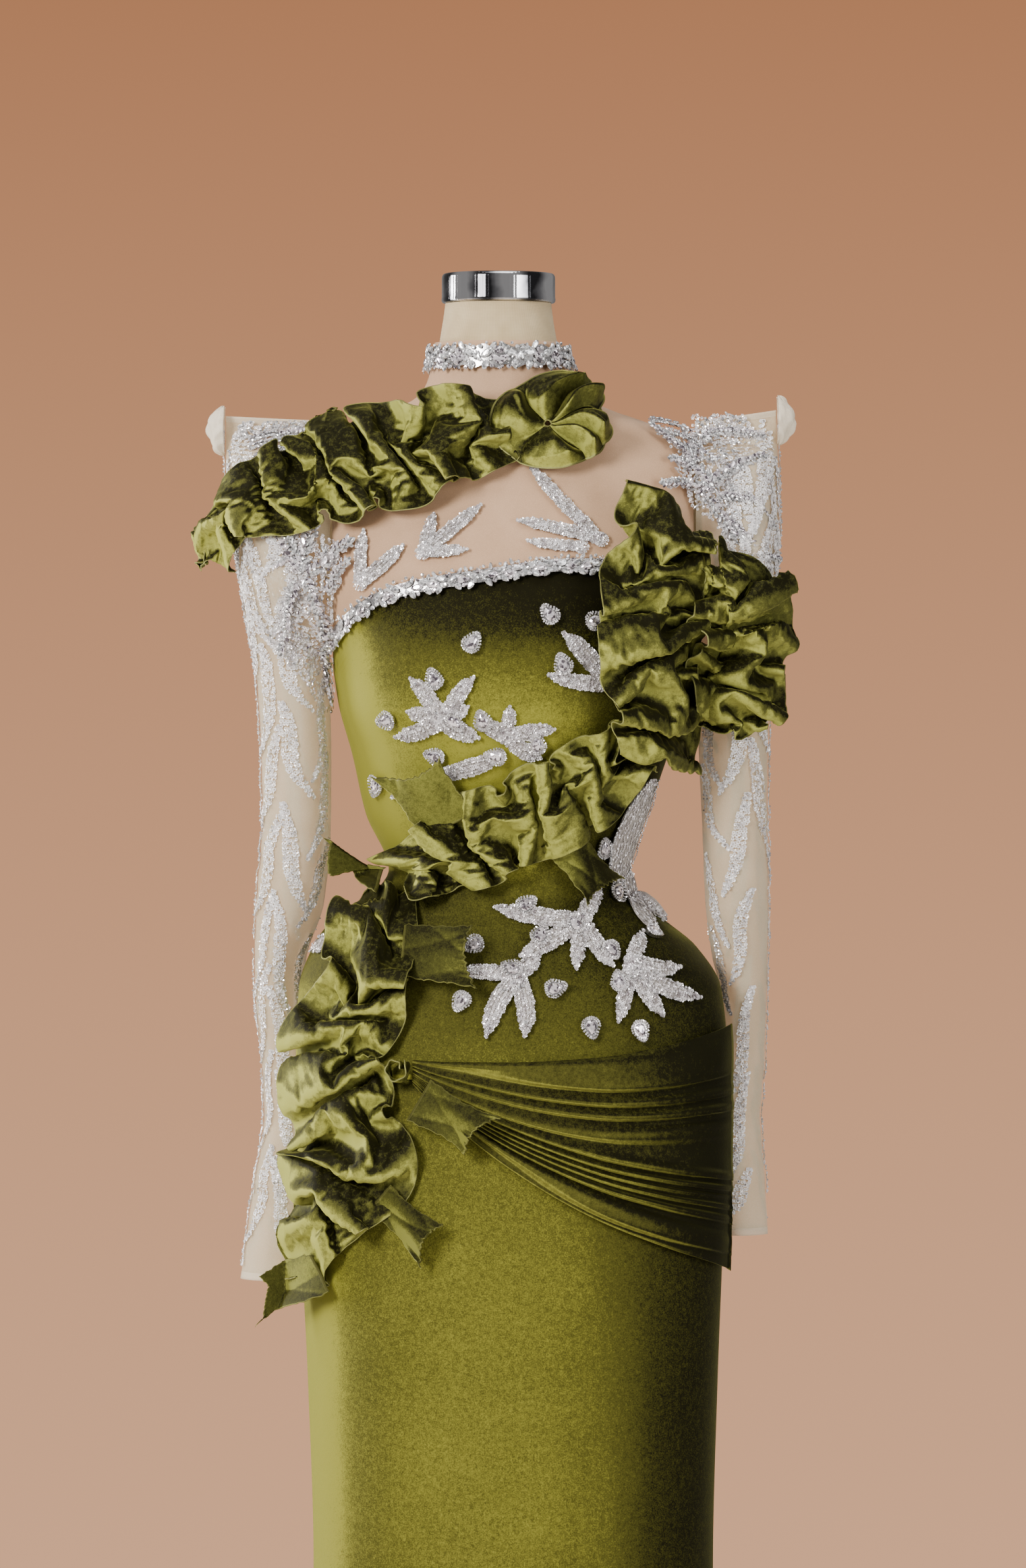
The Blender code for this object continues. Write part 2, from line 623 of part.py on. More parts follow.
# ---------------------------------------------------------------- collar band and neckline trim
def band(name, low, high, start, end, columns, out, thickness, finish):
    grid = []
    for edge in (low, high):
        grid.append([body(edge(a), a, out) for a in
                     (start + (end - start) * c / columns for c in range(columns + 1))])
    return sheet(name, grid, thickness, finish, from_axis)


band("choker", flat(1.5165), flat(1.5425), -math.pi + 0.006, math.pi - 0.006, 28, 0.0022, 0.0030, "crystal")
band("neckline_trim", lambda a: neckline_z(a) - 0.0065, lambda a: neckline_z(a) + 0.0065,
     front_end(-1)(1.300), front_end(1)(1.330), 22, 0.0018, 0.0028, "crystal")


# ---------------------------------------------------------------- hip drape
def pleat(v, u):
    """Uneven soft pleats across the drape; they flatten a little at the side seam."""
    wave = 0.5 - 0.5 * math.cos(2 * math.pi * (8 * v + 0.35 * math.sin(5.2 * v + 1.4 * u) + 0.12 * u))
    return (0.0022 + 0.0042 * min(1.0, 1.6 * u)) * wave ** 0.8


DRAPE_COLS, DRAPE_ROWS = 7, 24
grid = []
for r in range(DRAPE_ROWS + 1):
    v = r / DRAPE_ROWS
    row = []
    for c in range(DRAPE_COLS + 1):
        u = c / DRAPE_COLS
        x = -0.0800 + (0.1765 + 0.0800) * (1 - (1 - u) ** 1.25)
        z = DRAPE_AT["top"](x) + (DRAPE_AT["bottom"](x) - DRAPE_AT["top"](x)) * v
        row.append(body(z, body_angle(x, z), 0.0030 + 0.0024 * u * u + pleat(v, u)))
    grid.append(row)
sheet("hip_drape", grid, VELVET, "velvet", from_axis)

# knot that gathers the drape: a strip rolled once round the pleats' meeting point
KNOT_X, KNOT_Z, KNOT_TURNS = -0.0925, 0.9400, 1.10
grid = []
for r in range(3):
    row = []
    for c in range(15):
        turn = 2 * math.pi * KNOT_TURNS * c / 14
        radius = 0.0050 + 0.0048 * c / 14
        x, z = KNOT_X + radius * math.cos(turn), KNOT_Z + 1.25 * radius * math.sin(turn)
        row.append(body(z, body_angle(x, z), 0.004 + 0.006 * r))
    grid.append(row)
sheet("drape_knot", grid, VELVET, "velvet", lambda p: from_axis(p), even=False)


# ---------------------------------------------------------------- ruffles
def sleeve_front_y(x, z, side):
    at = SLEEVE_AT[side]
    u = side * x
    outer, inner, cy, depth = at["outer"](z), at["inner"](z), at["cy"](z), at["depth"](z)
    c, h = (outer + inner) / 2, (outer - inner) / 2
    found = 0.0
    if z < HEAD_FULL_Z and abs(u - c) < h:
        found = cy - depth * (1 - ((u - c) / h) ** 2) ** 0.5
    if z > HEAD_BOTTOM_Z and SLEEVE_X < u < outer:
        y_front, _ = body_edge_y(min(z, RIDGE_Z), side, SLEEVE_X)
        found = min(found, (y_front - 0.010) * (1 - ((u - SLEEVE_X) / (outer - SLEEVE_X)) ** 2) ** 0.5)
    return found


def front_y(x, z):
    """Frontmost cloth at this place of the front view."""
    cx, half_x, front, back, power = body_section(z)
    u = abs(x - cx) / half_x
    y = -front * (1 - u ** power) ** (1 / power) if u < 1 else 0.0
    if abs(x) > SLEEVE_X:
        y = min(y if u < 1 else 0.0, sleeve_front_y(x, z, 1 if x > 0 else -1))
    return y


def upper_base(x, z):
    """Smoothed front of body and sleeves, for what crosses both."""
    total, weight, foremost = 0.0, 0.0, 0.0
    for i in (-3, -2, -1, 0, 1, 2, 3):
        w = math.exp(-0.22 * i * i)
        y = front_y(x + 0.007 * i, z)
        foremost = min(foremost, y)
        total += w * y
        weight += w
    return 0.5 * foremost + 0.5 * total / weight - 0.005


def on_upper(x, z, out):
    d = 0.004
    dx = (upper_base(x + d, z) - upper_base(x - d, z)) / (2 * d)
    dz = (upper_base(x, z + d) - upper_base(x, z - d)) / (2 * d)
    dx, dz = max(-1.0, min(1.0, dx)), max(-0.8, min(0.8, dz))
    normal = Vector((dx, -1.0, dz)).normalized()
    return Vector((x, upper_base(x, z), z)) + normal * out


def on_body(x, z, out):
    cx, half_x, front, back, power = body_section(z)
    reach = 0.985 * half_x
    over = max(abs(x - cx) - reach, 0.0)
    x_in = cx + math.copysign(min(abs(x - cx), reach), x - cx)
    return body(z, body_angle(x_in, z), out + 0.5 * over)


def path_of(table):
    """Smooth path through the rows: place, half width and lift at a share s of its length."""
    rows = [dict(zip(RUFFLE_COLUMNS, row)) for row in table]
    lengths = [0.0]
    for a, b in zip(rows, rows[1:]):
        lengths.append(lengths[-1] + math.hypot(b["x"] - a["x"], b["z"] - a["z"]))
    shares = [l / lengths[-1] for l in lengths]
    value = {name: smooth_curve(shares, [row[name] for row in rows]) for name in RUFFLE_COLUMNS}

    def at(s):
        s = min(max(s, 0.0), 1.0)
        a, b = max(s - 0.02, 0.0), min(s + 0.02, 1.0)
        tx, tz = value["x"](b) - value["x"](a), value["z"](b) - value["z"](a)
        size = math.hypot(tx, tz)
        return value["x"](s), value["z"](s), tx / size, tz / size, value["half"](s), value["lift"](s)

    return at, lengths[-1]


def fold(s, t, folds, seed):
    """Offset along the path, as a share of a fold's pitch, and height from 0 to 1, of a ruched fold that leans."""
    phase = 2 * math.pi * folds * s
    phase += 0.9 * math.sin(2.3 * folds * s + seed) + 0.8 * t * math.sin(1.7 * folds * s + 2.1 * seed)
    phase += 0.6 * math.sin(2.1 * t + seed + 3.0 * s)
    height = 0.5 - 0.5 * math.cos(phase)
    tall = 0.70 + 0.30 * math.sin(1.9 * folds * s + 3.1 * t + 1.7 * seed)
    overhang = 0.10 * math.sin(2 * phase)
    lean = 0.38 * math.sin(1.3 * folds * s + seed + 1.1 * t)
    height *= tall
    return overhang + lean * height, height


def ruffle(name, table, folds, seed, place, columns_per_fold=4, rows=2, gather=0.45, base=0.005):
    """Strip of velvet gathered along its middle: folds stand across the path and are tallest near its edges."""
    at, length = path_of(table)
    cols = folds * columns_per_fold
    pitch = length / folds
    grid = []
    for r in range(rows + 1):
        t = -1 + 2 * r / rows
        row = []
        for c in range(cols + 1):
            s = c / cols
            shift, height = fold(s, t, folds, seed)
            ends = min(1.0, 8 * s, 8 * (1 - s))
            x, z, tx, tz, half_w, lift = at(s + shift * ends / folds)
            rise = base + lift * height * (gather + (1 - gather) * abs(t) ** 0.8) * (0.4 + 0.6 * ends)
            reach = t * half_w * (1 + 0.10 * math.sin(2 * math.pi * folds * s * 0.7 + seed * t))
            row.append(place(x - tz * reach, z + tx * reach, rise))
        grid.append(row)
    return sheet(name, grid, VELVET, "velvet", lambda p: Vector((0, -1, 0)), even=False)


ruffle("ruffle_shoulder", RUFFLE_SHOULDER, 11, 0.4, on_upper)
ruffle("ruffle_bust_inner", RUFFLE_BUST_INNER, 9, 1.9, on_upper)
ruffle("ruffle_bust_outer", RUFFLE_BUST_OUTER, 7, 3.3, on_upper, base=0.010)
ruffle("ruffle_waist", RUFFLE_WAIST, 9, 5.2, on_body)
ruffle("ruffle_hip", RUFFLE_HIP, 13, 2.6, on_body)

# pinwheel rosette at the end of the shoulder ruffle
ROSETTE_X, ROSETTE_Z, ROSETTE_R, ROSETTE_FOLDS = 0.0300, 1.4700, 0.0340, 8
grid = []
for r in range(3):
    t = r / 2
    row = []
    for c in range(ROSETTE_FOLDS * 5 + 1):
        share = c / (ROSETTE_FOLDS * 5)
        shift, height = fold(share, t, ROSETTE_FOLDS, 0.9)
        turn = 2 * math.pi * (0.004 + 0.992 * share) + (0.5 * t + shift * 2 * math.pi / ROSETTE_FOLDS) * min(
            1.0, 10 * share, 10 * (1 - share))
        radius = 0.006 + (ROSETTE_R - 0.006) * t
        x = ROSETTE_X + 1.25 * radius * math.cos(turn)
        z = ROSETTE_Z + radius * math.sin(turn)
        row.append(on_upper(x, z, 0.006 + 0.004 * (1 - t) + (0.008 + 0.016 * t) * height))
    grid.append(row)
sheet("ruffle_rosette", grid, VELVET, "velvet", lambda p: Vector((0, -1, 0)), even=False)

# raw-edged flaps
for row in FLAPS:
    f = dict(zip(FLAP_COLUMNS, row))
    ux, uz = math.cos(math.radians(f["direction"])), math.sin(math.radians(f["direction"]))
    grid = []
    for r in range(4):
        a = r / 3
        line = []
        for c in range(4):
            b = -1 + 2 * c / 3
            spread = 0.45 + 0.55 * a
            corner = 0.22 * f["length"] * a * (0.6 - abs(b)) * (1 if r == 3 else 0)
            x = f["x"] + ux * (a * f["length"] + corner) - uz * b * spread * f["width"] / 2
            z = f["z"] + uz * (a * f["length"] + corner) + ux * b * spread * f["width"] / 2
            out = f["start"] + (f["stand"] - f["start"]) * a + 0.004 * math.sin(2.4 * b + 2 * a + 10 * f["x"])
            line.append(on_body(x, z, out + 0.004))
        grid.append(line)
    sheet(f["name"], grid, VELVET, "velvet", lambda p: Vector((p.x, -0.2 + p.y, 0)), even=False)


# ---------------------------------------------------------------- sequin branches
def arm_sides(x, z, direction, length, half_w, bend, steps=2):
    """Left and right edge points of one leaf-shaped arm, from its root out, and its tip."""
    left, right = [], []
    heading = math.radians(direction)
    px, pz = x, z
    step = length / (steps + 1)
    for i in range(1, steps + 1):
        px += step * math.cos(heading)
        pz += step * math.sin(heading)
        heading += math.radians(bend) / steps
        w = half_w * (1.0 - 0.45 * abs(i / (steps + 1) - 0.45))
        left.append((px - w * math.sin(heading), pz + w * math.cos(heading)))
        right.append((px + w * math.sin(heading), pz - w * math.cos(heading)))
    tip = (px + step * math.cos(heading), pz + step * math.sin(heading))
    return left, right, tip


def spray_outline(x, z, arms):
    """Outline, anticlockwise from the front, of leaf-shaped arms round a hub."""
    arms = sorted((dict(zip(ARM_COLUMNS, arm)) for arm in arms), key=lambda a: a["direction"] % 360)
    outline = []
    count = len(arms)
    gaps, roots = [], []
    for i, arm in enumerate(arms):
        following = arms[(i + 1) % count]
        gap = (following["direction"] - arm["direction"]) % 360 or 360
        root = 0.0065
        if gap < 75:
            root = min(1.25 * 0.5 * (arm["half"] + following["half"]) / math.tan(math.radians(gap / 2)),
                       0.55 * min(arm["length"], following["length"]))
        gaps.append(gap)
        roots.append(root)
    for i, arm in enumerate(arms):
        left, right, tip = arm_sides(x, z, arm["direction"], arm["length"], arm["half"], arm["bend"])
        right = [q for q in right if math.hypot(q[0] - x, q[1] - z) > roots[i - 1] + 0.002]
        left = [q for q in left if math.hypot(q[0] - x, q[1] - z) > roots[i] + 0.002]
        outline += right + [tip] + left[::-1]
        middle = math.radians(arm["direction"] + gaps[i] / 2)
        turns = (-0.7, 0.0, 0.7) if gaps[i] > 150 else (0.0,)
        outline += [(x + roots[i] * math.cos(middle + k), z + roots[i] * math.sin(middle + k)) for k in turns]
    return outline


def spray(name, x, z, arms, finish="sequins", out=0.0024, thickness=0.0015):
    outline = spray_outline(x, z, arms)
    flat_points = [Vector((px, pz, 0)) for px, pz in outline]
    faces = tessellate_polygon([flat_points])
    points = [on_body(px, pz, out) for px, pz in outline]
    fixed = []
    for f in faces:
        (ax, az), (bx, bz), (cx, cz) = (outline[i] for i in f)
        area = (bx - ax) * (cz - az) - (bz - az) * (cx - ax)
        if abs(area) > 1e-12:
            fixed.append(tuple(f) if area > 0 else tuple(f)[::-1])
    return solidify(new_object(name, points, fixed, finish), thickness, even=False)


for name, x, z, arms in SPRAYS:
    spray(name, x, z, arms)

# lace panel at the wearer's left waist, from under the ruffle down to the hip branches
LACE_COLUMNS = ("z", "x0", "x1")
LACE = ((1.1720, 0.0960, 0.1130), (1.1450, 0.0860, 0.1060), (1.1180, 0.0780, 0.0990), (1.1000, 0.0760, 0.0930))
LACE_AT = curves(LACE, LACE_COLUMNS, "z")
grid = []
for r in range(6):
    z = 1.1720 - (1.1720 - 1.1130) * r / 5
    x0, x1 = LACE_AT["x0"](z), LACE_AT["x1"](z)
    grid.append([on_body(x0 + (x1 - x0) * c / 3, z, 0.0042) for c in range(4)])
sheet("lace_side_left", grid, 0.0012, "sequins", from_axis)


# ---------------------------------------------------------------- centre-back zip
def box(name, size, location, tilt, finish, bevel=0.0):
    bpy.ops.mesh.primitive_cube_add(size=1.0, location=(0, 0, 0))
    obj = bpy.context.active_object
    obj.name = name
    obj.data.name = name
    for vertex in obj.data.vertices:
        vertex.co = Vector((vertex.co.x * size[0], vertex.co.y * size[1], vertex.co.z * size[2]))
    obj.location = location
    obj.rotation_euler = (tilt, 0, 0)
    if bevel:
        edge = obj.modifiers.new("edge", "BEVEL")
        edge.width = bevel
        edge.segments = 2
    obj.data.materials.append(material(finish))
    for collection in list(obj.users_collection):
        collection.objects.unlink(obj)
    DRESS.objects.link(obj)
    return obj


ZIP_TOP_Z = 1.5060
ZIP_Y = BODY_AT["back"](ZIP_TOP_Z)
ZIP_X = (BODY_AT["xl"](ZIP_TOP_Z) + BODY_AT["xr"](ZIP_TOP_Z)) / 2
SLOPE = math.atan2(BODY_AT["back"](1.498) - BODY_AT["back"](1.510), 0.012)   # the nape leans back this much
AXIS_OUT = 0.0042


def behind(down, out):
    """Point on the nape, this far down the zip and this far out from the cloth."""
    return Vector((ZIP_X,
                   ZIP_Y + down * math.sin(SLOPE) + out * math.cos(SLOPE),
                   ZIP_TOP_Z - down * math.cos(SLOPE) + out * math.sin(SLOPE)))


def across(name, points, thickness_x, finish):
    """Outline in the plane of the zip, given as (down, out), extruded to both sides of it."""
    data = bpy.data.curves.new(name, "CURVE")
    data.dimensions = "2D"
    data.fill_mode = "BOTH"
    data.extrude = thickness_x / 2
    line = data.splines.new("POLY")
    line.points.add(len(points) - 1)
    for spot, (down, out) in zip(line.points, points):
        spot.co = (down, out, 0, 1)
    line.use_cyclic_u = True
    data.materials.append(material(finish))
    obj = bpy.data.objects.new(name, data)
    # local x runs down the zip, local y out of the cloth
    x_axis = Vector((0, math.sin(SLOPE), -math.cos(SLOPE)))
    y_axis = Vector((0, math.cos(SLOPE), math.sin(SLOPE)))
    z_axis = x_axis.cross(y_axis)
    from mathutils import Matrix
    frame = Matrix((x_axis, y_axis, z_axis)).transposed().to_4x4()
    frame.translation = behind(0, 0)
    obj.matrix_world = frame
    DRESS.objects.link(obj)
    return obj


across("zip_slider", ((-0.0030, 0.0020), (0.0050, 0.0020), (0.0050, 0.0032), (0.0036, 0.0038),
                      (0.0012, 0.0040), (-0.0030, 0.0034)), 0.0052, "zip_metal")
pull = across("zip_pull", ((0.0008, 0.0043), (0.0180, 0.0043), (0.0195, 0.0047), (0.0195, 0.0053),
                           (0.0180, 0.0057), (0.0008, 0.0057)), 0.0050, "zip_metal")

# ---------------------------------------------------------------- dress form and stand
FORM_HEIGHTS = (1.5760, 1.5300, 1.5050, 1.4900, 1.4780, 1.4650, 1.4450, 1.4000, 1.3400, 1.2850,
                1.2300, 1.1500, 1.1035, 1.0870, 1.0650, 1.0400, 1.0050, 0.9300, 0.8250, 0.8060, 0.8000)
FORM_COLUMNS = 22


def form_ring(z):
    ease = FORM_EASE + (0.010 if z < 0.802 else 0.003 if z < 0.81 else 0.0)
    if 1.52 < z:
        ease = 0.0045
    ring = []
    for c in range(FORM_COLUMNS):
        angle = 2 * math.pi * c / FORM_COLUMNS
        if z > 1.5755:
            ring.append(Vector((NECK_X + 0.0445 * math.sin(angle), -0.0445 * math.cos(angle), NECK_TOP_Z)))
            continue
        point = body(z, angle, -ease)
        ring.append(Vector((point.x, point.y, z)) if z < 0.81 else point)
    return ring


def form_torso():
    rings = [form_ring(z) for z in FORM_HEIGHTS]
    points = [p for ring in rings for p in ring]
    n = FORM_COLUMNS
    faces = []
    for r in range(len(rings) - 1):
        for c in range(n):
            a, b = r * n + c, r * n + (c + 1) % n
            d, e = a + n, b + n
            faces += [(a, d, e), (a, e, b)]
    faces.append(tuple(range(n)))
    faces.append(tuple(reversed(range(len(points) - n, len(points)))))
    return new_object("form_torso", points, faces, "jersey")


form_torso()


def turned(name, profile, location, steps, finish):
    """Profile of (radius, height) from the outer top to the outer bottom, closed on the axis by the Screw."""
    mesh = bpy.data.meshes.new(name)
    mesh.from_pydata([(r, 0, z) for r, z in profile], [(i, i + 1) for i in range(len(profile) - 1)], [])
    obj = bpy.data.objects.new(name, mesh)
    obj.location = location
    screw = obj.modifiers.new("turn", "SCREW")
    screw.steps = steps
    screw.render_steps = steps
    screw.use_merge_vertices = True
    screw.merge_threshold = 0.00005
    mesh.materials.append(material(finish))
    DRESS.objects.link(obj)
    return obj


turned("form_neck_cap", ((0.0, CAP_TOP_Z), (0.0440, CAP_TOP_Z), (0.0464, CAP_TOP_Z - 0.0008),
                         (0.0473, CAP_TOP_Z - 0.0030), (0.0473, NECK_TOP_Z + 0.0022),
                         (0.0466, NECK_TOP_Z + 0.0003), (0.0, NECK_TOP_Z + 0.0003)),
       (NECK_X, 0, 0), 32, "chrome")
turned("form_pole", ((0.0, TORSO_BOTTOM_Z - 0.0003), (POLE_R, TORSO_BOTTOM_Z - 0.0003),
                     (POLE_R, BASE_H + 0.0003), (0.0, BASE_H + 0.0003)), (0, 0, 0), 16, "painted_metal")
turned("form_base", ((0.0, BASE_H), (0.0300, BASE_H), (BASE_R - 0.010, 0.0100), (BASE_R - 0.002, 0.0085),
                     (BASE_R, 0.0060), (BASE_R, 0.0), (0.0, 0.0)), (0, 0, 0), 40, "painted_metal")
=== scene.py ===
"""Looks of the mermaid evening dress on its limbless dress form.

Metres, +Z up, the front faces -Y and the wearer's left is +X, as in the frame.
"""
import math

import bpy
import numpy as np
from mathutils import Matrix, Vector


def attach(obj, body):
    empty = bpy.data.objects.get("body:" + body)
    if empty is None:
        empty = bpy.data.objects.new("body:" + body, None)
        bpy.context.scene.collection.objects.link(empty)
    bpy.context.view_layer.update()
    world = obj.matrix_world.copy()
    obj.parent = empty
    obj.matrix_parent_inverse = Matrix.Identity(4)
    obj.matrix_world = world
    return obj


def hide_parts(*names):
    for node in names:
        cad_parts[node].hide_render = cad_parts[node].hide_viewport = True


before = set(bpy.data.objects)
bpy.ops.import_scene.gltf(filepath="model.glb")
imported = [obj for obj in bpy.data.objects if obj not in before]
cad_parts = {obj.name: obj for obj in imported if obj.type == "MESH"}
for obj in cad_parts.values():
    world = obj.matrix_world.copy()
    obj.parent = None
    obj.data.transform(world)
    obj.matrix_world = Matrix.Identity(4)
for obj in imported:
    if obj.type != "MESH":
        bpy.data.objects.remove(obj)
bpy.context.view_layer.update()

RIDES = "dress_on_form"
PI = math.pi

# ---------------------------------------------------------------- driving sizes
VELVET = 0.0013
TULLE = 0.0007
FORM_EASE = 0.0092
ARMHOLE_X = 0.1500
SLEEVE_X = 0.1515
HIP_SEAM_Z = 0.9317
COLLAR_Z = 1.5430
NECK_TOP_Z = 1.5762
CAP_TOP_Z = 1.6010
TORSO_BOTTOM_Z = 0.8000
NECK_X = -0.0121
NECK_R = 0.0473
BASE_R, BASE_H, POLE_R = 0.1650, 0.0160, 0.0125
FLUTES = 8
SEAM = 0.0003

BODY_COLUMNS = ("z", "xl", "xr", "front", "back", "power")
BODY = (
    (1.601, -0.0594, 0.0352, 0.0473, 0.0473, 2.0),
    (1.576, -0.0610, 0.0365, 0.0490, 0.0490, 2.0),
    (1.545, -0.0655, 0.0410, 0.0530, 0.0530, 2.0),
    (1.515, -0.0705, 0.0500, 0.0580, 0.0580, 2.0),
    (1.500, -0.0780, 0.0590, 0.0610, 0.0630, 2.0),
    (1.488, -0.0985, 0.0800, 0.0640, 0.0710, 2.0),
    (1.478, -0.1230, 0.1090, 0.0670, 0.0780, 2.0),
    (1.466, -0.1460, 0.1380, 0.0700, 0.0830, 2.1),
    (1.448, -0.1630, 0.1570, 0.0750, 0.0870, 2.2),
    (1.420, -0.1710, 0.1660, 0.0850, 0.0930, 2.2),
    (1.380, -0.1710, 0.1670, 0.1040, 0.0980, 2.3),
    (1.330, -0.1630, 0.1610, 0.1260, 0.0980, 2.3),
    (1.285, -0.1525, 0.1525, 0.1330, 0.0940, 2.3),
    (1.240, -0.1455, 0.1440, 0.1300, 0.0880, 2.3),
    (1.200, -0.1345, 0.1300, 0.1190, 0.0810, 2.2),
    (1.150, -0.1230, 0.1130, 0.0970, 0.0740, 2.2),
    (1.1035, -0.1040, 0.0985, 0.0850, 0.0700, 2.2),
    (1.087, -0.1140, 0.1010, 0.0860, 0.0740, 2.2),
    (1.065, -0.1480, 0.1230, 0.0900, 0.0880, 2.2),
    (1.040, -0.1670, 0.1530, 0.0970, 0.1050, 2.2),
    (1.005, -0.1790, 0.1740, 0.1060, 0.1230, 2.2),
    (0.950, -0.1815, 0.1790, 0.1140, 0.1320, 2.2),
    (0.880, -0.1810, 0.1785, 0.1180, 0.1290, 2.3),
    (0.780, -0.1765, 0.1750, 0.1205, 0.1230, 2.3),
    (0.680, -0.1715, 0.1712, 0.1205, 0.1200, 2.3),
    (0.520, -0.1667, 0.1672, 0.1180, 0.1180, 2.3),
    (0.440, -0.1690, 0.1690, 0.1220, 0.1230, 2.2),
    (0.340, -0.1900, 0.1900, 0.1460, 0.1500, 2.1),
    (0.240, -0.2300, 0.2300, 0.1900, 0.1960, 2.0),
    (0.140, -0.2830, 0.2830, 0.2470, 0.2550, 2.0),
    (0.060, -0.3300, 0.3300, 0.2980, 0.3080, 2.0),
    (0.000, -0.3660, 0.3660, 0.3360, 0.3480, 2.0),
)

SLEEVE_COLUMNS = ("z", "outer", "inner", "cy", "depth")
SLEEVE_RIGHT = (
    (1.4700, 0.2390, 0.1515, 0.004, 0.045),
    (1.4450, 0.2387, 0.1515, 0.004, 0.052),
    (1.3800, 0.2310, 0.1515, 0.004, 0.058),
    (1.3180, 0.2220, 0.1520, 0.004, 0.054),
    (1.2700, 0.2140, 0.1540, 0.004, 0.046),
    (1.2000, 0.2090, 0.1525, 0.006, 0.043),
    (1.1420, 0.2075, 0.1530, 0.012, 0.042),
    (1.0760, 0.2130, 0.1590, 0.026, 0.042),
    (1.0300, 0.2150, 0.1740, 0.042, 0.044),
    (1.0050, 0.2150, 0.1770, 0.052, 0.044),
    (0.9385, 0.2100, 0.1700, 0.072, 0.042),
    (0.8945, 0.2085, 0.1680, 0.078, 0.041),
    (0.8395, 0.2165, 0.1670, 0.080, 0.042),
    (0.7580, 0.2280, 0.1720, 0.078, 0.043),
)
SLEEVE_LEFT = (
    (1.4700, 0.2190, 0.1515, 0.004, 0.045),
    (1.4450, 0.2200, 0.1515, 0.004, 0.052),
    (1.3800, 0.2200, 0.1515, 0.004, 0.058),
    (1.3180, 0.2150, 0.1520, 0.004, 0.054),
    (1.2700, 0.2130, 0.1540, 0.004, 0.046),
    (1.2000, 0.2118, 0.1560, 0.006, 0.043),
    (1.1420, 0.2112, 0.1590, 0.012, 0.042),
    (1.0760, 0.2120, 0.1620, 0.024, 0.042),
    (1.0300, 0.2122, 0.1680, 0.040, 0.043),
    (1.0050, 0.2122, 0.1735, 0.050, 0.043),
    (0.9385, 0.2105, 0.1680, 0.070, 0.042),
    (0.8945, 0.2070, 0.1660, 0.078, 0.041),
    (0.8395, 0.2110, 0.1650, 0.080, 0.042),
    (0.7960, 0.2135, 0.1680, 0.078, 0.043),
)
HEAD_BOTTOM_Z, HEAD_FULL_Z = 1.2700, 1.3050
RIDGE_Z = 1.4620

NECKLINE_COLUMNS = ("x", "z")
NECKLINE = (
    (-0.1530, 1.2850),
    (-0.1370, 1.3070),
    (-0.1210, 1.3205),
    (-0.0980, 1.3315),
    (-0.0700, 1.3380),
    (-0.0160, 1.3460),
    (0.0400, 1.3535),
    (0.0850, 1.3540),
    (0.1200, 1.3450),
    (0.1530, 1.3150),
)
BACK_NECKLINE_Z = 1.3150

DRAPE_COLUMNS = ("x", "top", "bottom")
DRAPE = (
    (-0.0830, 0.9480, 0.9300),
    (-0.0560, 0.9465, 0.9020),
    (-0.0030, 0.9462, 0.8590),
    (0.0690, 0.9500, 0.8165),
    (0.1240, 0.9590, 0.7930),
    (0.1600, 0.9690, 0.7790),
    (0.1775, 0.9755, 0.7700),
)

RUFFLE_COLUMNS = ("x", "z", "half", "lift")
RUFFLE_SHOULDER = (
    (-0.2400, 1.3660, 0.0150, 0.020),
    (-0.2340, 1.3900, 0.0200, 0.028),
    (-0.1950, 1.4110, 0.0290, 0.032),
    (-0.1400, 1.4310, 0.0400, 0.034),
    (-0.0880, 1.4440, 0.0400, 0.036),
    (-0.0440, 1.4570, 0.0340, 0.034),
    (-0.0100, 1.4640, 0.0300, 0.030),
)
RUFFLE_BUST_INNER = (
    (0.1220, 1.3960, 0.0310, 0.030),
    (0.1140, 1.3620, 0.0330, 0.034),
    (0.1060, 1.3180, 0.0330, 0.036),
    (0.1100, 1.2700, 0.0320, 0.036),
    (0.1160, 1.2300, 0.0290, 0.034),
    (0.1140, 1.2040, 0.0240, 0.026),
)
RUFFLE_BUST_OUTER = (
    (0.1640, 1.3580, 0.0120, 0.020),
    (0.1780, 1.3380, 0.0260, 0.032),
    (0.1820, 1.3040, 0.0300, 0.036),
    (0.1800, 1.2600, 0.0290, 0.036),
    (0.1760, 1.2220, 0.0230, 0.030),
)
RUFFLE_WAIST = (
    (0.0900, 1.2080, 0.0240, 0.026),
    (0.0720, 1.1900, 0.0280, 0.030),
    (0.0380, 1.1660, 0.0330, 0.033),
    (-0.0040, 1.1440, 0.0350, 0.034),
    (-0.0480, 1.1200, 0.0340, 0.032),
    (-0.0830, 1.1000, 0.0270, 0.026),
)
RUFFLE_HIP = (
    (-0.1000, 1.0780, 0.0220, 0.024),
    (-0.1080, 1.0400, 0.0280, 0.032),
    (-0.1200, 1.0000, 0.0320, 0.036),
    (-0.1400, 0.9500, 0.0320, 0.038),
    (-0.1320, 0.9020, 0.0360, 0.038),
    (-0.1260, 0.8640, 0.0400, 0.036),
    (-0.1440, 0.8300, 0.0340, 0.032),
    (-0.1580, 0.7960, 0.0220, 0.026),
    (-0.1600, 0.7740, 0.0110, 0.014),
)
ROSETTE_X, ROSETTE_Z, ROSETTE_R = 0.0300, 1.4700, 0.0340

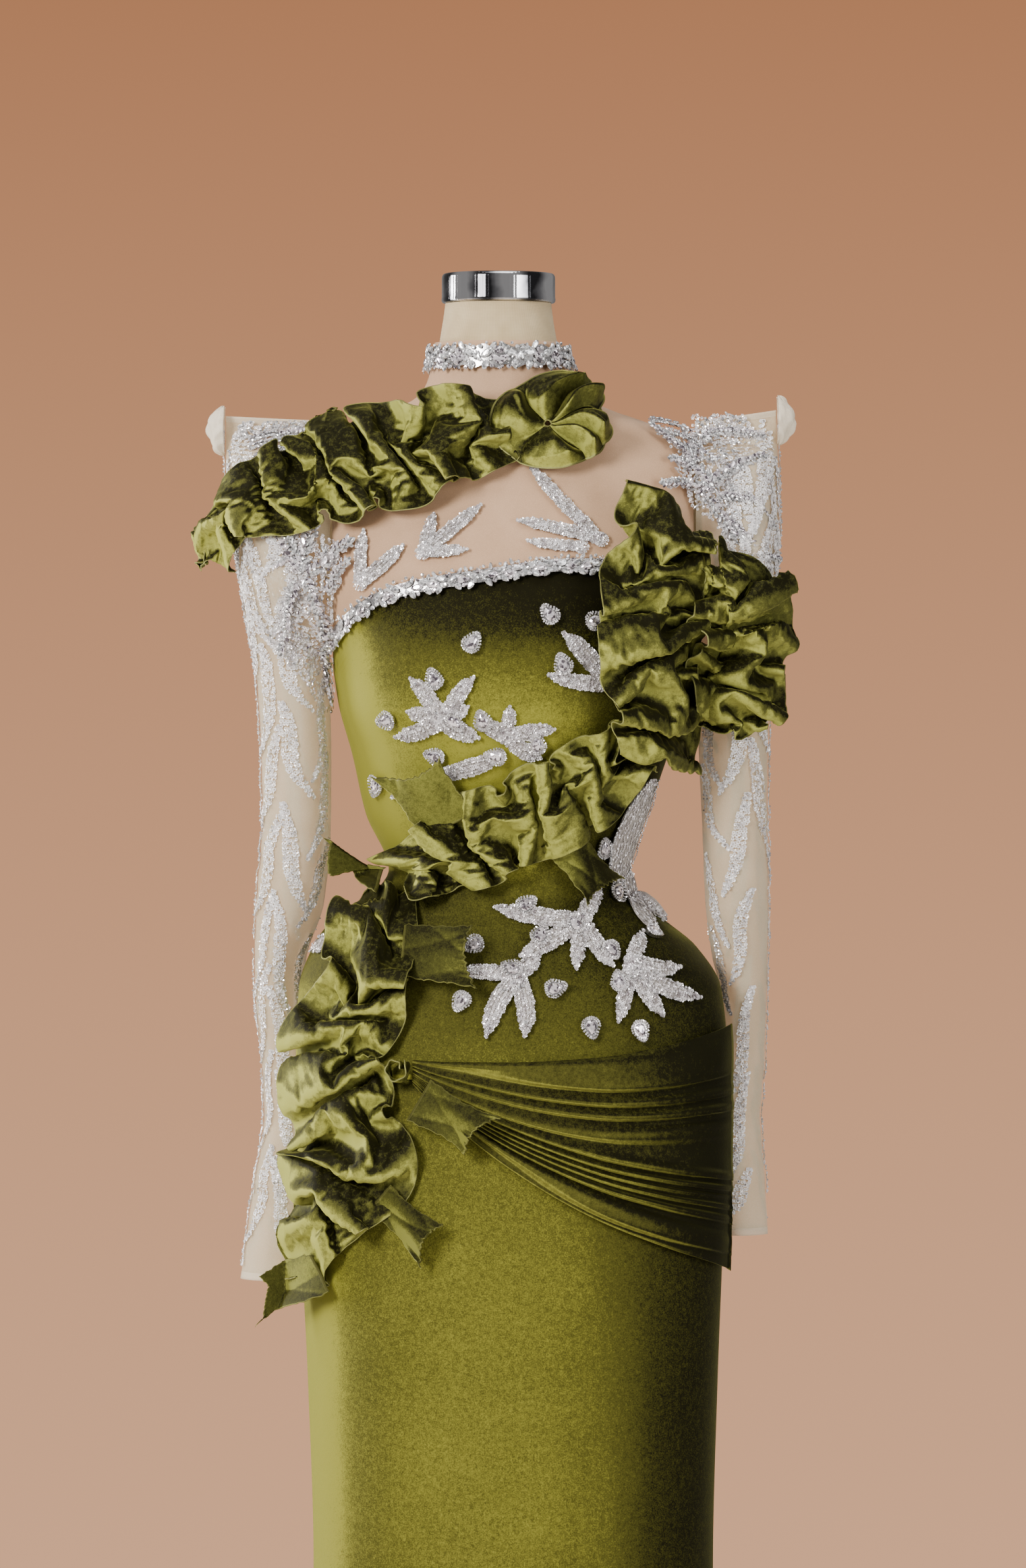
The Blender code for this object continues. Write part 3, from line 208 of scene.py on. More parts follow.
FLAP_COLUMNS = ("name", "x", "z", "direction", "length", "width", "start", "stand")
FLAPS = (
    ("flap_waist_top", -0.0560, 1.1560, 118, 0.0420, 0.0400, 0.008, 0.016),
    ("flap_waist_end", 0.0440, 1.1230, -58, 0.0460, 0.0340, 0.006, 0.010),
    ("flap_hip_side", -0.1120, 1.0960, 158, 0.0420, 0.0420, 0.012, 0.022),
    ("flap_hip_top", -0.0740, 1.0330, -8, 0.0420, 0.0420, 0.010, 0.020),
    ("flap_hip_front", -0.0620, 0.9080, -30, 0.0420, 0.0360, 0.012, 0.020),
    ("flap_hip_low", -0.0960, 0.8260, -42, 0.0420, 0.0300, 0.006, 0.012),
    ("flap_tail", -0.1620, 0.7660, 205, 0.0420, 0.0360, 0.010, 0.018),
)

ARM_COLUMNS = ("direction", "length", "half", "bend")
SPRAYS = (
    # name, x, z, arms
    ("bust_branch_centre", -0.0570, 1.2270, (
        (120, 0.044, 0.0060, 14), (62, 0.044, 0.0055, -16), (30, 0.024, 0.0050, 0),
        (160, 0.030, 0.0055, 10), (205, 0.040, 0.0060, -14), (330, 0.032, 0.0065, 12))),
    ("bust_branch_side", -0.0060, 1.2150, (
        (150, 0.022, 0.0060, 0), (78, 0.024, 0.0050, 10), (318, 0.034, 0.0060, 20),
        (12, 0.040, 0.0055, -8))),
    ("bust_branch_low", -0.0520, 1.1850, (
        (14, 0.042, 0.0065, 6), (208, 0.050, 0.0060, -10))),
    ("bust_branch_top", 0.0800, 1.2560, (
        (128, 0.058, 0.0070, 10), (176, 0.052, 0.0055, -12))),
    ("hip_branch_hub", 0.0560, 1.0620, (
        (62, 0.030, 0.0065, 0), (176, 0.072, 0.0065, -10), (214, 0.058, 0.0070, -8),
        (262, 0.040, 0.0055, 4), (300, 0.046, 0.0060, 8))),
    ("hip_branch_low", 0.0030, 1.0170, (
        (172, 0.046, 0.0055, 8), (232, 0.056, 0.0070, 24), (290, 0.050, 0.0070, -26),
        (40, 0.024, 0.0060, 0))),
    ("hip_branch_fan", 0.0960, 1.0280, (
        (66, 0.026, 0.0060, 0), (340, 0.042, 0.0060, 26), (318, 0.066, 0.0065, 30),
        (296, 0.052, 0.0060, 10), (262, 0.050, 0.0055, -8))),
    ("hip_branch_top", 0.0980, 1.0820, (
        (300, 0.034, 0.0055, 14), (336, 0.040, 0.0055, -16), (100, 0.020, 0.0060, 0))),
    ("hip_branch_right", -0.1480, 1.0480, (
        (38, 0.030, 0.0055, 6), (216, 0.022, 0.0050, 0))),
    ("hip_branch_edge", -0.1560, 1.0060, (
        (60, 0.022, 0.0055, -30), (282, 0.026, 0.0050, 20))),
    ("yoke_spray_right", -0.1240, 1.3400, (
        (92, 0.044, 0.0045, -10), (38, 0.046, 0.0050, 8))),
    ("yoke_spray_middle", -0.0740, 1.3640, (
        (40, 0.062, 0.0050, 0), (74, 0.034, 0.0045, 0), (4, 0.036, 0.0040, 0))),
    ("yoke_spray_left", 0.0720, 1.3750, (
        (136, 0.086, 0.0048, -6), (164, 0.070, 0.0042, 6))),
    ("yoke_spray_low", 0.0560, 1.3690, (
        (176, 0.044, 0.0038, -4),)),
)


# ---------------------------------------------------------------- curves and noise
def smooth_curve(xs, ys):
    """Monotone cubic through the rows of a table, for arrays."""
    xs, ys = np.array(xs, float), np.array(ys, float)
    if xs[0] > xs[-1]:
        xs, ys = xs[::-1], ys[::-1]
    step = np.diff(xs)
    rise = np.diff(ys) / step
    slope = np.zeros(len(xs))
    slope[0], slope[-1] = rise[0], rise[-1]
    for i in range(1, len(xs) - 1):
        if rise[i - 1] * rise[i] > 0:
            w1, w2 = 2 * step[i] + step[i - 1], step[i] + 2 * step[i - 1]
            slope[i] = (w1 + w2) / (w1 / rise[i - 1] + w2 / rise[i])

    def value(x):
        x = np.clip(np.asarray(x, float), xs[0], xs[-1])
        i = np.clip(np.searchsorted(xs, x, side="right") - 1, 0, len(xs) - 2)
        t = (x - xs[i]) / step[i]
        return ((1 + 2 * t) * (1 - t) ** 2 * ys[i] + t * (1 - t) ** 2 * step[i] * slope[i]
                + t * t * (3 - 2 * t) * ys[i + 1] + t * t * (t - 1) * step[i] * slope[i + 1])

    return value


def curves(table, columns, key):
    at = columns.index(key)
    keys = [row[at] for row in table]
    return {name: smooth_curve(keys, [row[i] for row in table])
            for i, name in enumerate(columns) if i != at}


def smoothstep(lo, hi, x):
    t = np.clip((np.asarray(x, float) - lo) / (hi - lo), 0.0, 1.0)
    return t * t * (3 - 2 * t)


def wander(x, seed, octaves=4):
    """Smooth irregular wave of about -1 to 1 with a period near 1."""
    rng = np.random.default_rng(seed)
    x = np.asarray(x, float)
    total, weight = np.zeros_like(x), 0.0
    for i in range(octaves):
        f = 2 * PI * (0.37 + 0.41 * i + 0.18 * rng.random())
        a = 1.0 / (1 + 0.6 * i)
        total = total + a * np.sin(f * x + 2 * PI * rng.random())
        weight += a * 0.75
    return total / weight


BODY_AT = curves(BODY, BODY_COLUMNS, "z")
SLEEVE_AT = {-1: curves(SLEEVE_RIGHT, SLEEVE_COLUMNS, "z"), 1: curves(SLEEVE_LEFT, SLEEVE_COLUMNS, "z")}
NECKLINE_AT = curves(NECKLINE, NECKLINE_COLUMNS, "x")["z"]
DRAPE_AT = curves(DRAPE, DRAPE_COLUMNS, "x")


# ---------------------------------------------------------------- body surface
def unit(v):
    return v / np.maximum(np.linalg.norm(v, axis=-1, keepdims=True), 1e-12)


def section(z):
    xl, xr = BODY_AT["xl"](z), BODY_AT["xr"](z)
    return (xl + xr) / 2, (xr - xl) / 2, BODY_AT["front"](z), BODY_AT["back"](z), BODY_AT["power"](z)


def flute(z, a):
    grow = np.clip((0.46 - z) / 0.46, 0.0, 1.0)
    return 0.020 * grow ** 1.5 * np.cos(FLUTES * a + 0.8 * np.sin(2 * a + 0.6) + 0.5 * np.sin(3 * a))


def body_raw(z, a):
    z, a = np.broadcast_arrays(np.asarray(z, float), np.asarray(a, float))
    cx, half, front, back, power = section(z)
    s, c = np.sin(a), np.cos(a)
    depth = np.where(c > 0, front, back)
    radius = (np.abs(s / half) ** power + np.abs(c / depth) ** power) ** (-1 / power) + flute(z, a)
    return np.stack([cx + radius * s, -radius * c, z], -1)


def body_normal(z, a):
    along = body_raw(z, a + 0.02) - body_raw(z, a - 0.02)
    up = body_raw(z + 0.003, a) - body_raw(z - 0.003, a)
    return unit(np.cross(along, up))


def body(z, a, out=0.0):
    return body_raw(z, a) + body_normal(z, a) * np.asarray(out, float)[..., None]


def body_angle(x, z):
    cx, half, front, back, power = section(z)
    u = np.minimum(np.abs(x - cx) / half, 0.9999)
    return np.arctan2(x - cx, front * (1 - u ** power) ** (1 / power))


def armhole_angle(z, side, reach=ARMHOLE_X):
    """Angles, from the front, where the side plane cuts the body's front and back."""
    z = np.asarray(z, float)
    cx, half, front, back, power = section(z)
    u = (side * reach - cx) * side / half
    whole = (z < 1.20) | (u >= 0.999)
    u = np.where(whole, 0.5, u)
    left = (1 - u ** power) ** (1 / power)
    return (np.where(whole, PI / 2, np.arctan2(u * half, front * left)),
            np.where(whole, PI / 2, PI - np.arctan2(u * half, back * left)))


def neckline_z(a):
    a = np.asarray(a, float)
    z = np.full(a.shape, 1.335)
    for _ in range(5):
        z = NECKLINE_AT(body_raw(z, np.clip(a, -PI / 2, PI / 2))[..., 0])
    side_z = NECKLINE_AT(np.where(a > 0, 0.153, -0.153))
    t = smoothstep(0.0, 0.9, np.abs(a) - PI / 2)
    return np.where(np.abs(a) <= PI / 2, z, side_z + (BACK_NECKLINE_Z - side_z) * t)


def seam_angle(z):
    return 0.5 * SEAM / section(z)[1] + 0.0004


def front_end(side):
    return lambda z: side * (armhole_angle(z, side)[0] - seam_angle(z))


def back_end(side):
    return lambda z: side * (armhole_angle(z, side)[1] + seam_angle(z))


def centre_back(side):
    return lambda z: side * (PI - 0.5 * SEAM / BODY_AT["back"](z) - 0.0004)


def panel_places(start, end, low, high, rows, cols):
    """Heights and angles of a panel's grid, whose edges may lean."""
    level = np.linspace(0, 1, rows)[:, None] * np.ones((1, cols))
    t = np.linspace(0, 1, cols)[None, :] * np.ones((rows, 1))
    z = low(np.zeros_like(t)) + (high(np.zeros_like(t)) - low(np.zeros_like(t))) * level
    for _ in range(16):
        a = start(z) + (end(z) - start(z)) * t
        z = 0.5 * (z + low(a) + (high(a) - low(a)) * level)
    return z, start(z) + (end(z) - start(z)) * t


def level_at(value):
    return lambda a: np.full(np.shape(a), float(value))


# ---------------------------------------------------------------- sleeve surface
def body_edge_y(z, side, reach):
    cx, half_x, front, back, power = section(z)
    u = (side * reach - cx) * side / half_x
    gone = u >= 1
    left = (1 - np.where(gone, 0.5, u) ** power) ** (1 / power)
    return (np.where(gone, -0.0045, -np.maximum(front * left, 0.0045)),
            np.where(gone, 0.0045, np.maximum(back * left, 0.0045)))


def sleeve_raw(z, v, side):
    z, v = np.broadcast_arrays(np.asarray(z, float), np.asarray(v, float))
    at = SLEEVE_AT[side]
    outer, inner, cy, depth = at["outer"](z), at["inner"](z), at["cy"](z), at["depth"](z)
    open_by = smoothstep(HEAD_BOTTOM_Z, HEAD_FULL_Z, z)
    gap = 0.0015 + 0.0105 * open_by
    turn = 2 * PI * (gap + (1 - 2 * gap) * v)
    centre, half_x = (outer + inner) / 2, (outer - inner) / 2
    tube = np.stack([side * (centre - half_x * np.cos(turn)), cy - depth * np.sin(turn), z], -1)
    y_front, y_back = body_edge_y(np.minimum(z, RIDGE_Z), side, SLEEVE_X)
    closing = smoothstep(1.4450, 1.4740, z)
    belly = (0.010 + 0.004 * smoothstep(1.325, 1.335, z)) * (1 - closing)
    y_front = y_front * (1 - closing) - 0.0030 * closing
    y_back = y_back * (1 - closing) + 0.0030 * closing
    across = np.sin(PI * v)
    y = y_front + (y_back - y_front) * (1 - np.cos(PI * v)) / 2 - belly * np.sin(2 * PI * v)
    x = SLEEVE_X + 0.0003 + (outer - SLEEVE_X) * np.maximum(across, 0.0) ** 0.85
    tip_rise = (0.004 if side < 0 else 0.009) * closing * across
    head = np.stack([side * x, y, z + tip_rise], -1)
    return tube + (head - tube) * open_by[..., None]


def sleeve_away(points, side):
    return np.stack([points[..., 0] - side * 0.178, points[..., 1] * 0.9 - 0.9 * SLEEVE_AT[side]["cy"](points[..., 2]),
                     np.zeros(points.shape[:-1])], -1)


def sleeve_surface(z, v, side, out=0.0):
    v = np.asarray(v, float)
    point = sleeve_raw(z, v, side)
    around = sleeve_raw(z, np.minimum(v + 0.02, 1.0), side) - sleeve_raw(z, np.maximum(v - 0.02, 0.0), side)
    up = sleeve_raw(np.asarray(z) + 0.003, v, side) - sleeve_raw(np.asarray(z) - 0.003, v, side)
    normal = unit(np.cross(around, up))
    away = sleeve_away(point, side)
    normal = np.where((normal * away).sum(-1, keepdims=True) < 0, -normal, normal)
    return point + normal * np.asarray(out, float)[..., None]


def sleeve_front_y(x, z, side):
    at = SLEEVE_AT[side]
    u = side * x
    outer, inner, cy, depth = at["outer"](z), at["inner"](z), at["cy"](z), at["depth"](z)
    c, h = (outer + inner) / 2, (outer - inner) / 2
    inside = (z < HEAD_FULL_Z) & (np.abs(u - c) < h)
    found = np.where(inside, cy - depth * np.sqrt(np.maximum(1 - ((u - c) / h) ** 2, 0)), 0.0)
    y_front, _ = body_edge_y(np.minimum(z, RIDGE_Z), side, SLEEVE_X)
    head = (z > HEAD_BOTTOM_Z) & (u > SLEEVE_X) & (u < outer)
    dome = (y_front - 0.010) * np.sqrt(np.maximum(1 - ((u - SLEEVE_X) / (outer - SLEEVE_X)) ** 2, 0))
    return np.where(head, np.minimum(found, dome), found)


def front_y(x, z):
    """Frontmost cloth at this place of the front view."""
    x, z = np.broadcast_arrays(np.asarray(x, float), np.asarray(z, float))
    cx, half_x, front, back, power = section(z)
    u = np.abs(x - cx) / half_x
    y = np.where(u < 1, -front * np.maximum(1 - np.minimum(u, 1) ** power, 0) ** (1 / power), 0.0)
    left = np.minimum(y, sleeve_front_y(x, z, 1))
    right = np.minimum(y, sleeve_front_y(x, z, -1))
    return np.where(x > SLEEVE_X, left, np.where(x < -SLEEVE_X, right, y))


def upper_base(x, z):
    total, weight = 0.0, 0.0
    foremost = np.zeros(np.broadcast(x, z).shape)
    for i in (-3, -2, -1, 0, 1, 2, 3):
        w = math.exp(-0.22 * i * i)
        y = front_y(x + 0.007 * i, z)
        foremost = np.minimum(foremost, y)
        total = total + w * y
        weight += w
    return 0.5 * foremost + 0.5 * total / weight - 0.005


def on_upper(x, z, out):
    x, z, out = np.broadcast_arrays(np.asarray(x, float), np.asarray(z, float), np.asarray(out, float))
    d = 0.004
    dx = np.clip((upper_base(x + d, z) - upper_base(x - d, z)) / (2 * d), -1.0, 1.0)
    dz = np.clip((upper_base(x, z + d) - upper_base(x, z - d)) / (2 * d), -0.8, 0.8)
    normal = unit(np.stack([dx, -np.ones_like(dx), dz], -1))
    return np.stack([x, upper_base(x, z), z], -1) + normal * out[..., None]


def on_body(x, z, out):
    x, z, out = np.broadcast_arrays(np.asarray(x, float), np.asarray(z, float), np.asarray(out, float))
    cx, half_x, front, back, power = section(z)
    reach = 0.985 * half_x
    over = np.maximum(np.abs(x - cx) - reach, 0.0)
    x_in = cx + np.sign(x - cx) * np.minimum(np.abs(x - cx), reach)
    return body(z, body_angle(x_in, z), out + 0.5 * over)


# ---------------------------------------------------------------- meshes
DRESS = bpy.data.collections.new("dress_looks")
bpy.context.scene.collection.children.link(DRESS)


def make(name, points, faces, materials, index=None, smooth=True, replaces=(), slot=None, body_name=RIDES):
    """One mesh piece from arrays; faces is a list of integer arrays of triangles or quads."""
    faces = [np.asarray(f, np.int64) for f in faces if len(f)]
    mesh = bpy.data.meshes.new(name)
    points = np.asarray(points, np.float64).reshape(-1, 3)
    mesh.vertices.add(len(points))
    mesh.vertices.foreach_set("co", points.astype(np.float32).ravel())
    loops = np.concatenate([f.ravel() for f in faces])
    sizes = np.concatenate([np.full(len(f), f.shape[1]) for f in faces])
    mesh.loops.add(len(loops))
    mesh.loops.foreach_set("vertex_index", loops.astype(np.int32))
    mesh.polygons.add(len(sizes))
    starts = np.concatenate([[0], np.cumsum(sizes)[:-1]])
    mesh.polygons.foreach_set("loop_start", starts.astype(np.int32))
    for m in materials:
        mesh.materials.append(m)
    if index is not None:
        mesh.polygons.foreach_set("material_index", np.asarray(index, np.int32))
    mesh.update(calc_edges=True)
    mesh.validate()
    flags = np.full(len(mesh.polygons), bool(smooth)) if np.ndim(smooth) == 0 else np.asarray(smooth, bool)
    if len(flags) == len(mesh.polygons):
        mesh.polygons.foreach_set("use_smooth", flags)
    mesh.update()
    obj = bpy.data.objects.new(name, mesh)
    DRESS.objects.link(obj)
    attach(obj, body_name)
    if replaces:
        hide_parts(*replaces)
    return obj


def grid_quads(rows, cols, start=0, wrap=False):
    r = np.arange(rows - 1)[:, None]
    c = np.arange(cols if wrap else cols - 1)[None, :]
    a = start + r * cols + c
    b = start + r * cols + (c + 1) % cols
    return np.stack([a, b, b + cols, a + cols], -1).reshape(-1, 4)


def grid_normals(P):
    along = np.gradient(P, axis=1)
    down = np.gradient(P, axis=0)
    return unit(np.cross(along, down))


def shell_arrays(P, thick, outward=None, edge_columns=0, start=0):
    """Closed thin wall on the grid P, which is its outer face. Returns points, quads and a mark for the raw edges."""
    rows, cols = P.shape[:2]
    N = grid_normals(P)
    flip = False
    if outward is not None:
        flip = (N * outward(P)).sum() < 0
        if flip:
            N = -N
    inner = P - N * thick
    outer_q = grid_quads(rows, cols, start)
    inner_q = grid_quads(rows, cols, start + rows * cols)[:, ::-1]
    if not flip:
        pass
    else:
        outer_q, inner_q = outer_q[:, ::-1], inner_q[:, ::-1]
    n = rows * cols

    def rim(ids, turn):
        a, b = ids[:-1], ids[1:]
        q = np.stack([a, a + n, b + n, b], -1)
        return q[:, ::-1] if turn else q

    top = start + np.arange(cols)
    bottom = start + (rows - 1) * cols + np.arange(cols)
    left = start + np.arange(rows) * cols
    right = start + np.arange(rows) * cols + cols - 1
    turn = flip
    rims = [rim(top, turn), rim(bottom, not turn), rim(left, not turn), rim(right, turn)]
    quads = np.concatenate([outer_q, inner_q] + rims)
    marks = np.zeros(len(quads), np.int32)
    if edge_columns:
        row = np.repeat(np.arange(rows - 1), cols - 1)
        edge = ((row < edge_columns) | (row >= rows - 1 - edge_columns)).astype(np.int32)
        marks[:len(edge)] = edge
        marks[len(edge):2 * len(edge)] = edge
        marks[2 * len(edge):] = 1
    return np.concatenate([P.reshape(-1, 3), inner.reshape(-1, 3)]), quads, marks


def shell(name, P, thick, materials, outward=None, edge_columns=0, **kw):
    points, quads, marks = shell_arrays(P, thick, outward, edge_columns)
    return make(name, points, [quads], materials, index=marks if len(materials) > 1 else None, **kw)


def from_axis(P):
    return P * np.array([1.0, 1.0, 0.0])


def to_front(P):
    return np.broadcast_to(np.array([0.0, -1.0, 0.0]), P.shape)


def lathe(name, profile, centre, segments, materials, **kw):
    """Turned piece from (radius, height) rows that start and end on the axis."""
    profile = np.array(profile, float)
    a = np.linspace(0, 2 * PI, segments, endpoint=False)[None, :]
    r, h = profile[:, 0][:, None], profile[:, 1][:, None]
    P = np.stack([centre[0] + r * np.cos(a), centre[1] + r * np.sin(a), np.broadcast_to(h, (len(profile), segments))], -1)
    return make(name, P.reshape(-1, 3), [grid_quads(len(profile), segments, wrap=True)], materials, **kw)


# ---------------------------------------------------------------- small things in numbers
def hexagon_cup():
    a = np.arange(6) * PI / 3
    pts = np.concatenate([[[0, 0, -0.16]], np.stack([np.cos(a), np.sin(a), np.full(6, 0.12)], -1)])
    tri = np.array([[0, 1 + i, 1 + (i + 1) % 6] for i in range(6)])
    return pts, tri


def octahedron():
    pts = np.array([[1, 0, 0], [0, 1, 0], [-1, 0, 0], [0, -1, 0], [0, 0, 1], [0, 0, -1]], float)
    tri = np.array([[0, 1, 4], [1, 2, 4], [2, 3, 4], [3, 0, 4], [1, 0, 5], [2, 1, 5], [3, 2, 5], [0, 3, 5]])
    return pts, tri


def stone(outline, table=0.52, crown=0.42, depth=0.10):
    """Faceted stone: girdle outline, kite facets up to a flat table, and a short skirt below for its setting."""
    outline = np.array(outline, float)
    n = len(outline)
    middle = np.roll(outline, -1, axis=0) * 0.5 + outline * 0.5
    low = np.concatenate([outline * 0.96, np.full((n, 1), -depth)], 1)
    girdle = np.concatenate([outline, np.zeros((n, 1))], 1)
    crown_ring = np.concatenate([middle * 0.80, np.full((n, 1), crown * 0.62)], 1)
    table_ring = np.concatenate([outline * table, np.full((n, 1), crown)], 1)
    top = np.array([[0, 0, crown * 0.96]])
    pts = np.concatenate([low, girdle, crown_ring, table_ring, top])
    tri, kind = [], []
    for i in range(n):
        j = (i + 1) % n
        tri += [(i, j, n + j), (i, n + j, n + i)]
        kind += [1, 1]
        tri += [(n + i, n + j, 2 * n + i)]
        tri += [(n + i, 2 * n + i, 3 * n + i), (n + j, 3 * n + j, 2 * n + i), (2 * n + i, 3 * n + j, 3 * n + i)]
        kind += [0, 0, 0, 0]
        tri += [(3 * n + i, 3 * n + j, 4 * n)]
        kind += [0]
    return pts, np.array(tri), np.array(kind)


def lens_outline(n, width, point=1.0):
    """Marquise outline: two arcs that meet in points along x."""
    half = n // 2
    t = np.linspace(0, 1, half, endpoint=False)
    x = np.cos(PI * t)
    y = width * np.sin(PI * t) ** point
    return np.concatenate([np.stack([x, y], -1), np.stack([-x, -y], -1)])


def drop_outline(n, width):
    a = np.arange(n) * 2 * PI / n
    r = np.where(np.cos(a) > 0, 1.0, 0.86)
    return np.stack([r * np.cos(a) * (1 + 0.10 * np.cos(a)), width * np.sin(a) * (1 - 0.32 * np.maximum(np.cos(a), 0))], -1)


def round_outline(n):
    a = np.arange(n) * 2 * PI / n
    return np.stack([np.cos(a), np.sin(a)], -1)


def ring():
    """Round sequin with the hole that its thread goes through."""
    a = np.arange(5) * 2 * PI / 5
    pts = np.concatenate([np.stack([1.05 * np.cos(a), 1.05 * np.sin(a), np.full(5, 0.10)], -1),
                          np.stack([0.34 * np.cos(a), 0.34 * np.sin(a), np.full(5, -0.10)], -1)])
    tri = np.array([t for i in range(5) for t in ((i, (i + 1) % 5, 5 + (i + 1) % 5), (i, 5 + (i + 1) % 5, 5 + i))])
    return pts, tri


def pad(outline):
    """Low plate with that outline, from its top at 0 down to -1."""
    outline = np.array(outline, float)
    n = len(outline)
    pts = np.concatenate([np.concatenate([outline, np.zeros((n, 1))], 1), np.concatenate([outline, -np.ones((n, 1))], 1),
                          [[0, 0, 0], [0, 0, -1]]])
    tri = []
    for i in range(n):
        j = (i + 1) % n
        tri += [(i, j, 2 * n), (i, n + i, n + j), (i, n + j, j), (n + j, n + i, 2 * n + 1)]
    return pts, np.array(tri)


def plain(template):
    pts, tri = template
    return pts, tri, np.zeros(len(tri), int)


TEMPLATES = {
    # name: (points, triangles, material of each triangle within the kind)
    "sequin": plain(hexagon_cup()),
    "ring": plain(ring()),
    "bead": plain(octahedron()),
    "pad": plain(pad(drop_outline(12, 0.80))),
    "marquise": stone(lens_outline(8, 0.50, 0.9)),
    "pear": stone(drop_outline(9, 0.72), table=0.55),
    "round": stone(round_outline(6), table=0.55),
}


class Bag:
    """Gathers many small things and makes them one mesh."""

    def __init__(self):
        self.points, self.tris, self.index, self.count = [], [], [], 0

    def add(self, kind, pos, normal, heading, size, materials=(0, 1)):
        """pos, normal and heading are N x 3; size is one number, N numbers, a tuple (along heading, across, out), or N x 3."""
        pts, tri, which = TEMPLATES[kind]
        pos = np.asarray(pos, float).reshape(-1, 3)
        n = len(pos)
        if not n:
            return
        normal = unit(np.broadcast_to(normal, (n, 3)))
        heading = np.broadcast_to(heading, (n, 3))
        heading = unit(heading - normal * (heading * normal).sum(-1, keepdims=True))
        side = np.cross(normal, heading)
        size = np.array([size], float) if isinstance(size, tuple) else np.asarray(size, float)
        if size.ndim < 2:
            size = np.broadcast_to(size.reshape(-1, 1), (n, 3))
        size = np.broadcast_to(size, (n, 3))
        local = pts[None] * size[:, None, :]
        world = (pos[:, None] + local[..., :1] * heading[:, None] + local[..., 1:2] * side[:, None]
                 + local[..., 2:] * normal[:, None])
        self.points.append(world.reshape(-1, 3))
        self.tris.append((tri[None] + (self.count + np.arange(n) * len(pts))[:, None, None]).reshape(-1, 3))
        self.index.append(np.tile(np.array(materials)[which], n))
        self.count += n * len(pts)

    def add_mesh(self, points, quads, material):
        """Any other grid or wall that belongs to the same piece."""
        q = np.asarray(quads)
        tri = q if q.shape[1] == 3 else np.concatenate([q[:, [0, 1, 2]], q[:, [0, 2, 3]]])
        self.points.append(np.asarray(points).reshape(-1, 3))
        self.tris.append(tri + self.count)
        self.index.append(np.full(len(tri), material))
        self.count += len(self.points[-1])

    def build(self, name, materials, **kw):
        index = np.concatenate(self.index)
        used = sorted(set(index.tolist()))
        return make(name, np.concatenate(self.points), [np.concatenate(self.tris)], [materials[i] for i in used],
                    index=np.searchsorted(used, index), smooth=kw.pop("smooth", False), **kw)


def tilted(normal, rng, amount):
    return unit(normal + amount * rng.standard_normal(normal.shape))


def frames(surface, p, q, theta, out, away=None):
    """Place, normal and heading on surface(p, q), where theta turns from +p towards +q."""
    e = 0.0012
    p, q, theta = (np.asarray(v, float) for v in (p, q, theta))
    a = unit(surface(p + e, q) - surface(p - e, q))
    b = unit(surface(p, q + e) - surface(p, q - e))
    point = surface(p, q)
    n = unit(np.cross(a, b))
    if away is not None:
        n = np.where((n * away(point)).sum(-1, keepdims=True) < 0, -n, n)
    heading = np.cos(theta)[..., None] * a + np.sin(theta)[..., None] * b
    return point + n * np.asarray(out, float)[..., None], n, heading


